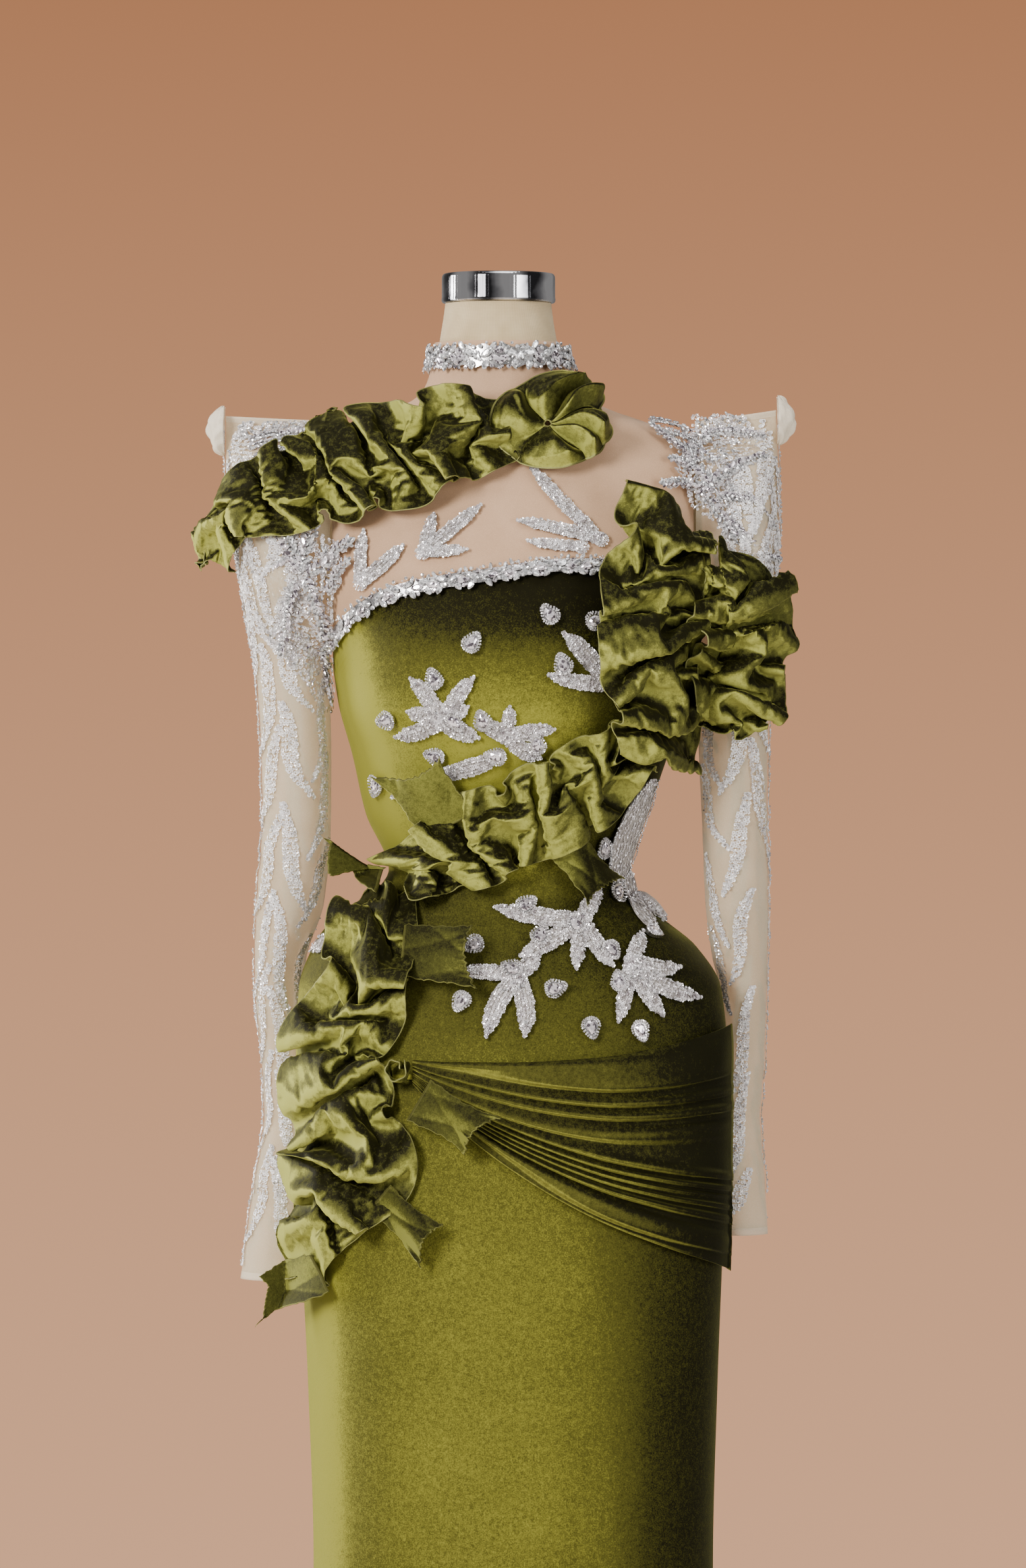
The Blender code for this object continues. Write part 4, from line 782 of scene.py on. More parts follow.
# ---------------------------------------------------------------- materials
class Nodes:
    """Short hand for a material's nodes."""

    def __init__(self, name):
        self.material = bpy.data.materials.new(name)
        self.material.use_nodes = True
        self.tree = self.material.node_tree
        self.shader = self.tree.nodes["Principled BSDF"]
        self.place = self.tree.nodes.new("ShaderNodeTexCoord").outputs["Object"]

    def new(self, kind, **values):
        node = self.tree.nodes.new(kind)
        for key, value in values.items():
            setattr(node, key, value)
        return node

    def link(self, a, b):
        self.tree.links.new(a, b)

    def noise(self, scale, detail=2.0, rough=0.5, place=None, distortion=0.0):
        node = self.new("ShaderNodeTexNoise")
        node.inputs["Scale"].default_value = scale
        node.inputs["Detail"].default_value = detail
        node.inputs["Roughness"].default_value = rough
        node.inputs["Distortion"].default_value = distortion
        self.link(place or self.place, node.inputs["Vector"])
        return node.outputs["Fac"]

    def cells(self, scale, feature="F1", output="Distance"):
        node = self.new("ShaderNodeTexVoronoi", feature=feature)
        node.inputs["Scale"].default_value = scale
        self.link(self.place, node.inputs["Vector"])
        return node.outputs[output]

    def math(self, operation, a, b=None, c=None):
        node = self.new("ShaderNodeMath", operation=operation)
        for socket, value in zip(node.inputs, (a, b, c)):
            if value is None:
                continue
            if isinstance(value, (int, float)):
                socket.default_value = value
            else:
                self.link(value, socket)
        return node.outputs[0]

    def ramp(self, fac, stops, socket):
        node = self.new("ShaderNodeValToRGB")
        ramp = node.color_ramp
        while len(ramp.elements) < len(stops):
            ramp.elements.new(0.5)
        for element, (at, colour) in zip(ramp.elements, stops):
            element.position = at
            element.color = (*colour, 1)
        self.link(fac, node.inputs["Fac"])
        self.link(node.outputs["Color"], socket)

    def span(self, fac, lo, hi, socket):
        node = self.new("ShaderNodeMapRange")
        node.inputs["To Min"].default_value = lo
        node.inputs["To Max"].default_value = hi
        self.link(fac, node.inputs["Value"])
        self.link(node.outputs["Result"], socket)

    def bump(self, height, strength, distance):
        node = self.new("ShaderNodeBump")
        node.inputs["Strength"].default_value = strength
        node.inputs["Distance"].default_value = distance
        self.link(height, node.inputs["Height"])
        self.link(node.outputs["Normal"], self.shader.inputs["Normal"])

    def turn(self, scale):
        """Place stretched by a scale along each axis."""
        node = self.new("ShaderNodeMapping")
        node.inputs["Scale"].default_value = scale
        self.link(self.place, node.inputs["Vector"])
        return node.outputs["Vector"]

    def set(self, **values):
        names = {"rough": "Roughness", "metal": "Metallic", "sheen": "Sheen Weight", "sheen_rough": "Sheen Roughness",
                 "sheen_tint": "Sheen Tint", "spec": "Specular IOR Level", "spec_tint": "Specular Tint",
                 "alpha": "Alpha", "coat": "Coat Weight", "coat_rough": "Coat Roughness", "ior": "IOR",
                 "colour": "Base Color", "aniso": "Anisotropic", "through": "Transmission Weight"}
        for key, value in values.items():
            self.shader.inputs[names[key]].default_value = (*value, 1) if isinstance(value, tuple) else value
        return self


def velvet_material(name, dark, light, sheen=0.8, edge=0.0, bust_shade=0.0, speck=0.60, punch=1.0, turned=0.0):
    """Short pile: fine grain and brushed clouds. Light and shade are painted into the base colour from the normal: what
    faces down and to the wearer's right is painted light, and what faces up or the other way is painted shade;
    bust_shade is how much more painted shade lies over the bust, and speck how strong the grain is. punch sets dark and
    light apart, and turned paints light on what faces the wearer's left."""
    m = Nodes(name)
    geometry = m.new("ShaderNodeNewGeometry")
    split = m.new("ShaderNodeSeparateXYZ")
    m.link(geometry.outputs["Normal"], split.inputs[0])
    # Painted side light: the curve makes the base colour light where the normal faces the wearer's right and dark where
    # it faces the wearer's left; turned lifts that dark side with painted light.
    across = m.new("ShaderNodeFloatCurve")
    curve = across.mapping.curves[0]
    points = ((0.0, 0.98), (0.10, 0.92), (0.22, 0.54), (0.34, 0.58), (0.50, 0.62), (0.66, 0.38 + 0.5 * turned),
              (0.80, 0.10 + 0.9 * turned), (1.0, 0.03 + 0.7 * turned))
    curve.points[0].location, curve.points[1].location = points[0], points[-1]
    for at in points[1:-1]:
        curve.points.new(*at)
    across.mapping.update()
    m.link(m.math("MULTIPLY_ADD", split.outputs["X"], 0.5, 0.5), across.inputs["Value"])
    # Painted light and shade by the normal's height: faces turned down are painted lighter, and faces turned up darker.
    upright = m.new("ShaderNodeMapRange")
    upright.interpolation_type = "SMOOTHSTEP"
    upright.inputs["From Min"].default_value = 0.34
    upright.inputs["From Max"].default_value = -0.30
    upright.inputs["To Min"].default_value = 0.34
    upright.inputs["To Max"].default_value = 1.30
    m.link(split.outputs["Z"], upright.inputs["Value"])
    grain = m.noise(900, 3.0, 0.65)
    nap = m.noise(260, 3.0, 0.6)
    cloud = m.noise(17, 3.0, 0.55, distortion=0.4)
    pile = m.math("MULTIPLY_ADD", grain, speck, m.math("MULTIPLY_ADD", nap, 0.76, m.math("MULTIPLY", cloud, 0.26)))
    # lean holds the painted light and shade from the side and the height of the normal.
    lean = m.math("MULTIPLY", across.outputs[0], upright.outputs[0])
    # Painted shade over the bust: from 1.205 m up to 1.322 m the base colour grows darker.
    if bust_shade:
        where, height = m.new("ShaderNodeSeparateXYZ"), m.new("ShaderNodeMapRange")
        height.interpolation_type = "SMOOTHSTEP"
        m.link(m.place, where.inputs[0])
        m.link(where.outputs["Z"], height.inputs["Value"])
        for socket, value in zip(("From Min", "From Max", "To Min", "To Max"), (1.322, 1.205, -bust_shade, 0.0)):
            height.inputs[socket].default_value = value
        lean = m.math("MULTIPLY_ADD", lean, 1.26, height.outputs["Result"])
    mix = m.math("MULTIPLY_ADD", m.math("SUBTRACT", pile, 0.51 + 0.5 * speck), 0.62, m.math("ADD", lean, edge))
    # punch pulls the painted light and shade and the grain further apart.
    if punch != 1.0:
        mix = m.math("MULTIPLY_ADD", mix, punch, 0.51 * (1.0 - punch))
    middle = tuple(a + 0.30 * (b - a) for a, b in zip(dark, light))
    m.ramp(mix, [(0.0, dark), (0.55, middle), (1.0, light)], m.shader.inputs["Base Color"])
    m.span(pile, 0.45, 0.66, m.shader.inputs["Roughness"])
    m.bump(m.math("ADD", grain, m.math("MULTIPLY", nap, 0.6)), 0.35, 0.0007)
    m.set(sheen=sheen, sheen_rough=0.30, sheen_tint=(0.80, 0.78, 0.16), spec=0.18, spec_tint=(0.85, 0.80, 0.40))
    return m.material


def tulle_material(name, colour, low, alpha, pitch=1500):
    """Fine net: two sets of threads that cross, in a thin see-through cloth."""
    m = Nodes(name)
    threads = m.cells(pitch, "F1")
    cloud = m.noise(45, 3.0)
    m.ramp(m.math("MULTIPLY_ADD", threads, 0.55, m.math("MULTIPLY", cloud, 0.5)), [(0.25, low), (0.75, colour)],
           m.shader.inputs["Base Color"])
    m.span(cloud, 0.62, 0.80, m.shader.inputs["Roughness"])
    m.bump(threads, 0.25, 0.0003)
    m.set(alpha=alpha, sheen=0.25, sheen_rough=0.4, sheen_tint=(1.0, 0.93, 0.84), spec=0.25)
    return m.material


def jersey_material():
    """Fine vertical rib round the form, with a slub along it."""
    m = Nodes("form_jersey")
    split = m.new("ShaderNodeSeparateXYZ")
    m.link(m.place, split.inputs[0])
    turn = m.math("ARCTAN2", m.math("SUBTRACT", split.outputs["X"], NECK_X), split.outputs["Y"])
    rib = m.math("SINE", m.math("MULTIPLY", turn, 300.0))
    row = m.math("SINE", m.math("MULTIPLY", split.outputs["Z"], 5200.0))
    knit = m.math("MULTIPLY_ADD", rib, 0.35, m.math("MULTIPLY_ADD", row, 0.15, 0.5))
    slub = m.noise(60, 3.0)
    m.ramp(m.math("MULTIPLY_ADD", knit, 0.45, m.math("MULTIPLY", slub, 0.55)),
           [(0.25, (0.47, 0.34, 0.18)), (0.60, (0.64, 0.50, 0.29)), (0.85, (0.74, 0.60, 0.38))],
           m.shader.inputs["Base Color"])
    m.span(slub, 0.78, 0.92, m.shader.inputs["Roughness"])
    m.bump(knit, 0.45, 0.0004)
    m.set(sheen=0.35, sheen_rough=0.5, sheen_tint=(1.0, 0.93, 0.80), spec=0.25)
    return m.material


def crystal_material(name, low, high, rough=0.05, metal=0.75, facet=620, stops=(0.10, 0.45, 0.75)):
    """Clear foiled stones: bright and dark patches painted into the base colour as reflections of their facets."""
    m = Nodes(name)
    # Painted reflections: random cells from near black to near white in the base colour stand for what the facets
    # reflect.
    facets = m.new("ShaderNodeTexVoronoi", feature="F1")
    facets.inputs["Scale"].default_value = facet
    m.link(m.place, facets.inputs["Vector"])
    split = m.new("ShaderNodeSeparateColor")
    m.link(facets.outputs["Color"], split.inputs[0])
    tint = m.noise(90, 2.0)
    fac = m.math("MULTIPLY_ADD", split.outputs[0], 0.75, m.math("MULTIPLY", tint, 0.25))
    m.ramp(fac, list(zip(stops, (low, tuple(0.5 * a + 0.5 * b for a, b in zip(low, high)), high))),
           m.shader.inputs["Base Color"])
    m.span(split.outputs[1], rough, rough + 0.10, m.shader.inputs["Roughness"])
    m.set(metal=metal, spec=0.9, ior=1.7)
    return m.material


def sequin_material(name, low, high, rough=0.16, metal=0.7):
    """Each sequin a little different in tone and tint."""
    m = Nodes(name)
    cells = m.new("ShaderNodeTexVoronoi", feature="F1")
    cells.inputs["Scale"].default_value = 330
    m.link(m.place, cells.inputs["Vector"])
    split = m.new("ShaderNodeSeparateColor")
    m.link(cells.outputs["Color"], split.inputs[0])
    m.ramp(split.outputs[0], [(0.0, low), (0.5, (0.80, 0.77, 0.77)), (1.0, high)], m.shader.inputs["Base Color"])
    m.span(split.outputs[1], rough, rough + 0.18, m.shader.inputs["Roughness"])
    m.bump(m.noise(1600, 1.0), 0.15, 0.0002)
    m.set(metal=metal, spec=0.8)
    return m.material


def metal_material(name, dark, light, rough_lo, rough_hi, metal=1.0, scale=300):
    m = Nodes(name)
    fine = m.noise(scale, 4.0)
    broad = m.noise(9, 3.0)
    mix = m.math("MULTIPLY_ADD", fine, 0.4, m.math("MULTIPLY", broad, 0.6))
    m.ramp(mix, [(0.30, dark), (0.70, light)], m.shader.inputs["Base Color"])
    m.span(mix, rough_lo, rough_hi, m.shader.inputs["Roughness"])
    m.bump(fine, 0.06, 0.0002)
    m.set(metal=metal)
    return m.material


def chrome_material():
    """Polished ring with faint upright brush marks, and dark and bright bands painted into its base colour as
    reflections.
    """
    m = Nodes("form_chrome")
    split = m.new("ShaderNodeSeparateXYZ")
    m.link(m.place, split.inputs[0])
    turn = m.math("ARCTAN2", m.math("SUBTRACT", split.outputs["X"], NECK_X), split.outputs["Y"])
    brush = m.math("SINE", m.math("MULTIPLY", turn, 90.0))
    smear_and_reflection = m.noise(40, 3.0)
    # Painted reflections: dark and bright bands round the ring, seven to a turn, broken up by the noise.
    band = m.math("MULTIPLY_ADD", m.math("SINE", m.math("MULTIPLY", turn, 7.0)), 0.30, m.math("MULTIPLY", smear_and_reflection, 0.9))
    m.ramp(band, [(0.18, (0.055, 0.055, 0.060)), (0.42, (0.34, 0.34, 0.36)), (0.72, (0.86, 0.86, 0.88))],
           m.shader.inputs["Base Color"])
    m.span(smear_and_reflection, 0.05, 0.13, m.shader.inputs["Roughness"])
    m.bump(m.math("MULTIPLY_ADD", brush, 0.5, m.math("MULTIPLY", smear_and_reflection, 0.5)), 0.08, 0.0006)
    m.set(metal=1.0)
    return m.material


# Every velvet below has light and shade painted into its base colour from the normal. The bodice and skirt velvet also
# has painted shade over the bust, and the ruffles and flaps have painted light on what faces the wearer's left.
MAT_VELVET = velvet_material("velvet", (0.0016, 0.0012, 0.0001), (0.262, 0.254, 0.034), 0.28, bust_shade=0.36, speck=1.7)
MAT_RUFFLE = velvet_material("velvet_ruffle", (0.0022, 0.0019, 0.0002), (0.395, 0.400, 0.086), 0.40,
                             punch=1.60, turned=0.30)
MAT_DRAPE = velvet_material("velvet_drape", (0.0018, 0.0015, 0.0002), (0.270, 0.262, 0.044), 0.32, speck=0.9, punch=1.30)
MAT_FLAP = velvet_material("velvet_flap", (0.004, 0.0036, 0.0005), (0.215, 0.220, 0.044), 0.34, -0.02, speck=1.0, punch=1.3,
                           turned=0.15)
MAT_FLAP_EDGE = velvet_material("velvet_flap_edge", (0.026, 0.024, 0.005), (0.25, 0.25, 0.07), 0.5, 0.06)
MAT_EDGE = velvet_material("velvet_raw_edge", (0.060, 0.057, 0.014), (0.34, 0.34, 0.12), 0.6, 0.20)
MAT_TULLE = tulle_material("nude_tulle", (0.77, 0.50, 0.315), (0.63, 0.395, 0.235), 0.64)
MAT_SLEEVE = tulle_material("sleeve_tulle", (0.92, 0.79, 0.58), (0.80, 0.66, 0.44), 0.36, 1200)
MAT_SLEEVE_HEM = tulle_material("sleeve_hem", (0.88, 0.76, 0.58), (0.78, 0.64, 0.46), 0.60, 1200)
MAT_PUFF = tulle_material("puff_tulle", (0.97, 0.88, 0.72), (0.88, 0.77, 0.60), 0.62, 1200)
# The sequin backing is a grey net, kept darker than the nude tulle as painted shade in the gaps between the sequins.
MAT_BACKING = tulle_material("sequin_backing", (0.50, 0.46, 0.43), (0.32, 0.29, 0.26), 0.80, 1400)
MAT_JERSEY = jersey_material()
MAT_CRYSTAL = crystal_material("crystal", (0.15, 0.15, 0.16), (1.0, 0.99, 1.0), 0.07, 0.50)
MAT_PEARL = crystal_material("pear_crystal", (0.12, 0.10, 0.12), (1.0, 0.93, 0.97), 0.05, 0.55, 470, (0.26, 0.40, 0.58))
MAT_SETTING = metal_material("stone_setting", (0.45, 0.44, 0.44), (0.78, 0.77, 0.77), 0.18, 0.34, 1.0, 900)
MAT_SEQUIN = sequin_material("sequins", (0.46, 0.41, 0.43), (1.0, 0.96, 0.99), 0.15, 0.35)
MAT_SEQUIN_CLEAR = sequin_material("sleeve_sequins", (0.90, 0.86, 0.85), (1.0, 0.99, 0.99), 0.22, 0.12)
MAT_BEAD = sequin_material("beads", (0.42, 0.40, 0.40), (1.0, 0.98, 1.0), 0.10, 0.55)
MAT_CHROME = chrome_material()
MAT_STAND = metal_material("stand_metal", (0.030, 0.030, 0.032), (0.060, 0.060, 0.063), 0.32, 0.50, 0.5)
MAT_ZIP = metal_material("zip_metal", (0.30, 0.30, 0.15), (0.48, 0.48, 0.26), 0.28, 0.42, 0.9, 700)

# ---------------------------------------------------------------- dress form and stand
FORM_ROWS, FORM_COLS = 84, 76
z = np.concatenate([np.linspace(1.5755, 1.44, 34), np.linspace(1.436, 1.12, 26), np.linspace(1.113, 1.0, 14),
                    np.linspace(0.990, 0.806, 10)])[:, None]
a = np.linspace(0, 2 * PI, FORM_COLS, endpoint=False)[None, :]
ease = np.where(z > 1.52, 0.0045, FORM_EASE) + 0.0 * a
ease = np.where(z > 1.5, 0.0045 + (FORM_EASE - 0.0045) * smoothstep(1.53, 1.505, z), ease) + 0.0 * a
P = body(z + 0 * a, a + 0 * z, -ease)
P[..., 2] = z + 0 * a
rim_top = np.stack([NECK_X + 0.0440 * np.sin(a[0]), -0.0440 * np.cos(a[0]), np.full(FORM_COLS, NECK_TOP_Z)], -1)
low = body(np.full(FORM_COLS, 0.806), a[0], np.full(FORM_COLS, -FORM_EASE - 0.003))
lower = body(np.full(FORM_COLS, 0.803), a[0], np.full(FORM_COLS, -FORM_EASE - 0.006))
bottom = body(np.full(FORM_COLS, 0.802), a[0], np.full(FORM_COLS, -FORM_EASE - 0.010))
for ring, height in ((low, 0.804), (lower, 0.8010), (bottom, TORSO_BOTTOM_Z)):
    ring[:, 2] = height
centre_top = np.broadcast_to(np.array([NECK_X, 0, NECK_TOP_Z]), (FORM_COLS, 3))
centre_low = np.broadcast_to(np.array([0, 0, TORSO_BOTTOM_Z]), (FORM_COLS, 3))
rings = np.concatenate([(0.02 * rim_top + 0.98 * centre_top)[None], rim_top[None], P, low[None], lower[None], bottom[None],
                        (0.02 * bottom + 0.98 * centre_low)[None]])
count = len(rings)
quads = grid_quads(count, FORM_COLS, wrap=True)
caps = [np.array([[i, (i + 1) % FORM_COLS, FORM_COLS // 2] for i in range(FORM_COLS)
                  if FORM_COLS // 2 not in (i, (i + 1) % FORM_COLS)]),
        np.array([[(count - 1) * FORM_COLS + (i + 1) % FORM_COLS, (count - 1) * FORM_COLS + i,
                   (count - 1) * FORM_COLS + FORM_COLS // 2] for i in range(FORM_COLS)
                  if FORM_COLS // 2 not in (i, (i + 1) % FORM_COLS)])]
make("form_torso_jersey", rings.reshape(-1, 3), [quads[:, ::-1]] + [c[:, ::-1] for c in caps], [MAT_JERSEY],
     replaces=("form_torso",), slot="form_jersey")

cap_h = CAP_TOP_Z
lathe("form_neck_cap_ring", (
    (0.0004, cap_h - 0.0020), (0.0300, cap_h - 0.0020), (0.0345, cap_h - 0.0016), (0.0362, cap_h - 0.0004),
    (0.0375, cap_h), (0.0440, cap_h), (0.0455, cap_h - 0.0003), (0.0466, cap_h - 0.0012), (0.0472, cap_h - 0.0028),
    (0.0473, cap_h - 0.0045), (0.0473, NECK_TOP_Z + 0.0050), (0.0476, NECK_TOP_Z + 0.0034),
    (0.0475, NECK_TOP_Z + 0.0016), (0.0466, NECK_TOP_Z + 0.0004), (0.0455, NECK_TOP_Z + 0.0003),
    (0.0004, NECK_TOP_Z + 0.0003))[::-1], (NECK_X, 0), 160, [MAT_CHROME], replaces=("form_neck_cap",), slot="form_chrome")
lathe("form_pole_tube", (
    (0.0003, BASE_H + 0.0003), (POLE_R, BASE_H + 0.0003), (POLE_R, 0.40), (POLE_R + 0.0045, 0.4005),
    (POLE_R + 0.0050, 0.402), (POLE_R + 0.0050, 0.438), (POLE_R + 0.0042, 0.440), (POLE_R - 0.002, 0.4405),
    (POLE_R - 0.002, TORSO_BOTTOM_Z - 0.0003), (0.0003, TORSO_BOTTOM_Z - 0.0003)), (0, 0), 48, [MAT_STAND],
      replaces=("form_pole",), slot="stand_metal")
lathe("form_base_plate", (
    (0.0003, 0.0), (BASE_R - 0.002, 0.0), (BASE_R, 0.0010), (BASE_R, 0.0055), (BASE_R - 0.0008, 0.0072),
    (BASE_R - 0.0035, 0.0088), (BASE_R - 0.0100, 0.0100), (0.0900, 0.0126), (0.0300, 0.0152), (0.0260, BASE_H - 0.0002),
    (0.0240, BASE_H), (0.0003, BASE_H)), (0, 0), 120, [MAT_STAND], replaces=("form_base",), slot="stand_metal")

# ---------------------------------------------------------------- dress panels
def crease(P, amount):
    """Moves a grid along its normals."""
    N = grid_normals(P)
    N = np.where((N * from_axis(P)).sum(-1, keepdims=True) < 0, -N, N)
    return P + N * amount[..., None]


def velvet_relief(z, a):
    """Soft drag lines: across the waist, down the skirt, and a stitched hem."""
    x = np.sin(a)
    waist = np.exp(-((z - 1.098) / 0.050) ** 2)
    drag = waist * (0.55 * np.sin((z - 1.1) * 150 + 2.2 * x + 1.4 * np.sin(3 * a)) + 0.35 * np.sin((z - 1.1) * 263 - 3.1 * x))
    under = smoothstep(1.16, 1.21, z) * smoothstep(1.27, 1.22, z)
    drag = drag + 0.30 * under * np.sin(26 * a + 40 * (z - 1.2))
    long_folds = smoothstep(0.80, 0.55, z) * smoothstep(0.05, 0.30, z)
    drag = drag + long_folds * (0.9 * np.sin(7 * a + 2.6 * np.sin(3.1 * z + 0.7) + 0.4) + 0.5 * np.sin(13 * a - 3.0 * z))
    hem = -0.7 * np.exp(-((z - 0.041) / 0.0016) ** 2)
    return 0.0006 * drag + 0.0008 * hem


def area_of(P):
    a = P[1:, :-1] - P[:-1, :-1]
    b = P[:-1, 1:] - P[:-1, :-1]
    return float(np.linalg.norm(np.cross(a, b), axis=-1).sum())


def cut_size(P):
    """Widest row and longest column of a grid: the rectangle that the piece is cut from."""
    width = np.linalg.norm(np.diff(P, axis=1), axis=-1).sum(1).max()
    length = np.linalg.norm(np.diff(P, axis=0), axis=-1).sum(0).max()
    return float(width), float(length)


PANELS = (
    # name, node, start, end, low, high, rows, cols
    ("bodice_front_velvet", "bodice_front", front_end(-1), front_end(1), level_at(HIP_SEAM_Z + SEAM),
     lambda a: neckline_z(a) - SEAM, 90, 70, "velvet"),
    ("bodice_back_left_velvet", "bodice_back_left", back_end(1), centre_back(1), level_at(HIP_SEAM_Z + SEAM),
     lambda a: neckline_z(a) - SEAM, 84, 36, "velvet"),
    ("bodice_back_right_velvet", "bodice_back_right", back_end(-1), centre_back(-1), level_at(HIP_SEAM_Z + SEAM),
     lambda a: neckline_z(a) - SEAM, 84, 36, "velvet"),
    ("yoke_front_tulle", "yoke_front", front_end(-1), front_end(1), lambda a: neckline_z(a) + SEAM,
     level_at(COLLAR_Z), 60, 66, "tulle"),
    ("yoke_back_left_tulle", "yoke_back_left", back_end(1), centre_back(1), lambda a: neckline_z(a) + SEAM,
     level_at(COLLAR_Z), 54, 34, "tulle"),
    ("yoke_back_right_tulle", "yoke_back_right", back_end(-1), centre_back(-1), lambda a: neckline_z(a) + SEAM,
     level_at(COLLAR_Z), 54, 34, "tulle"),
    ("skirt_front_velvet", "skirt_front", front_end(-1), front_end(1), level_at(0.013),
     level_at(HIP_SEAM_Z - SEAM), 86, 78, "velvet"),
    ("skirt_back_left_velvet", "skirt_back_left", back_end(1), centre_back(1), level_at(0.013),
     level_at(HIP_SEAM_Z - SEAM), 84, 38, "velvet"),
    ("skirt_back_right_velvet", "skirt_back_right", back_end(-1), centre_back(-1), level_at(0.013),
     level_at(HIP_SEAM_Z - SEAM), 84, 38, "velvet"),
)
for name, node, start, end, low, high, rows, cols, kind in PANELS:
    z, a = panel_places(start, end, low, high, rows, cols)
    P = body(z, a, np.zeros_like(z))
    if kind == "velvet":
        side = np.minimum(1.0, 14 * np.minimum(np.linspace(0, 1, cols), np.linspace(1, 0, cols)))[None, :]
        P = crease(P, velvet_relief(z, a) * side - 0.0003)
        piece = shell(name, P, VELVET, [MAT_VELVET], outward=from_axis, replaces=(node,), slot="velvet")
    else:
        P = body(z, a, np.full(z.shape, -0.0003))
        points, quads, _ = shell_arrays(P, TULLE, from_axis)
        points[z.size:] = body(z, a, np.full(z.shape, -0.0003 - TULLE)).reshape(-1, 3)
        piece = make(name, points, [quads], [MAT_TULLE], replaces=(node,), slot="nude_tulle")
    w, l = cut_size(P)


def declare(P, rests_on):
    """Works out the cut of a piece from its grid: the widest row by the longest column, or the strip of its area, and
    keeps nothing of it.
    """
    w, l = cut_size(P)
    area = area_of(P) * 0.98
    if area < 0.45 * w * l:
        w = area / (0.62 * l)
    list(rests_on)


# ---------------------------------------------------------------- sleeves
SIDES = ((1, "left"), (-1, "right"))


def sleeve_cloth(z, v, side, out):
    """The sleeve with its slack: long folds, drag at the elbow and wrist, and a fine ripple."""
    z, v = np.broadcast_arrays(np.asarray(z, float), np.asarray(v, float))
    cuff = (SLEEVE_LEFT if side > 0 else SLEEVE_RIGHT)[-1][0]
    calm = np.sin(PI * np.clip(v, 0.0, 1.0)) ** 0.5
    long_fold = 0.5 + 0.5 * np.sin(2 * PI * 5 * v + 2.6 * np.sin(6.5 * z + side) + 0.8 * np.sin(19 * z))
    slack = np.exp(-((z - 1.12) / 0.055) ** 2) * (0.5 + 0.5 * np.sin(235 * z + 5.5 * v + 1.5 * np.sin(9 * v)))
    wrist = np.exp(-((z - cuff - 0.10) / 0.06) ** 2) * (0.5 + 0.5 * np.sin(190 * z - 4.0 * v))
    fine = 0.5 + 0.5 * np.sin(2 * PI * 13 * v + 4 * np.sin(11 * z))
    relief = calm * smoothstep(1.47, 1.40, z) * (0.0011 * long_fold + 0.0012 * slack + 0.0009 * wrist + 0.0003 * fine)
    return sleeve_surface(z, v, side, out + relief)


for side, word in SIDES:
    cuff = (SLEEVE_LEFT if side > 0 else SLEEVE_RIGHT)[-1][0]
    rows, cols = 130, 46
    z = np.concatenate([np.linspace(1.4780, 1.4300, 30), np.linspace(1.4285, cuff + 0.0085, rows - 34),
                        np.linspace(cuff + 0.006, cuff, 4)])[:, None] * np.ones((1, cols))
    v = np.linspace(0, 1, cols)[None, :] * np.ones((len(z), 1))
    P = sleeve_cloth(z, v, side, TULLE)
    piece = shell(f"sleeve_{word}_tulle", P, TULLE, [MAT_SLEEVE, MAT_SLEEVE_HEM],
                  outward=lambda Q, side=side: sleeve_away(Q, side), edge_columns=3,
                  replaces=(f"sleeve_{word}",), slot="sleeve_tulle")
    declare(P, (f"yoke_back_{word}_tulle", f"bodice_back_{word}_velvet"))

    # gathered puff over the shoulder's tip
    tip = sleeve_raw(1.4700, 0.5, side)
    lean, turn = np.meshgrid(np.radians(np.linspace(-80, 80, 28)), np.radians(np.linspace(-87, 87, 44)), indexing="ij")
    swell = (0.0120 + 0.0019 * np.cos(3 * turn + 3.6 * lean + side) + 0.0010 * np.sin(7 * turn - 4 * lean)
             + 0.0005 * np.sin(17 * turn + 7 * lean))
    P = np.stack([tip[0] + side * (0.0012 + swell * np.cos(turn) * np.cos(lean) * 1.12),
                  tip[1] + 0.0200 * np.sin(turn) * np.cos(lean) * (1 + 0.05 * np.sin(11 * lean + 3 * turn)),
                  tip[2] - 0.004 + (0.004 if side > 0 else 0.0) + 0.0205 * np.sin(lean) + 0.0008 * np.sin(8 * turn)], -1)
    piece = shell(f"shoulder_puff_{word}_tulle", P, 0.0005, [MAT_PUFF],
                  outward=lambda Q, side=side: Q * 0 + np.array([side, 0.0, 0.0]),
                  replaces=(f"shoulder_puff_{word}",), slot="sleeve_tulle")
    declare(P, (f"sleeve_{word}_tulle",))

# ---------------------------------------------------------------- hip drape and its knot
DRAPE_ROWS, DRAPE_COLS, PLEATS = 240, 44, 11
v = np.linspace(0, 1, DRAPE_ROWS)[:, None] * np.ones((1, DRAPE_COLS))
u = np.linspace(0, 1, DRAPE_COLS)[None, :] * np.ones((DRAPE_ROWS, 1))
x = -0.0812 + (0.1765 + 0.0812) * (1 - (1 - u) ** 1.25)
z = DRAPE_AT["top"](x) + (DRAPE_AT["bottom"](x) - DRAPE_AT["top"](x)) * v
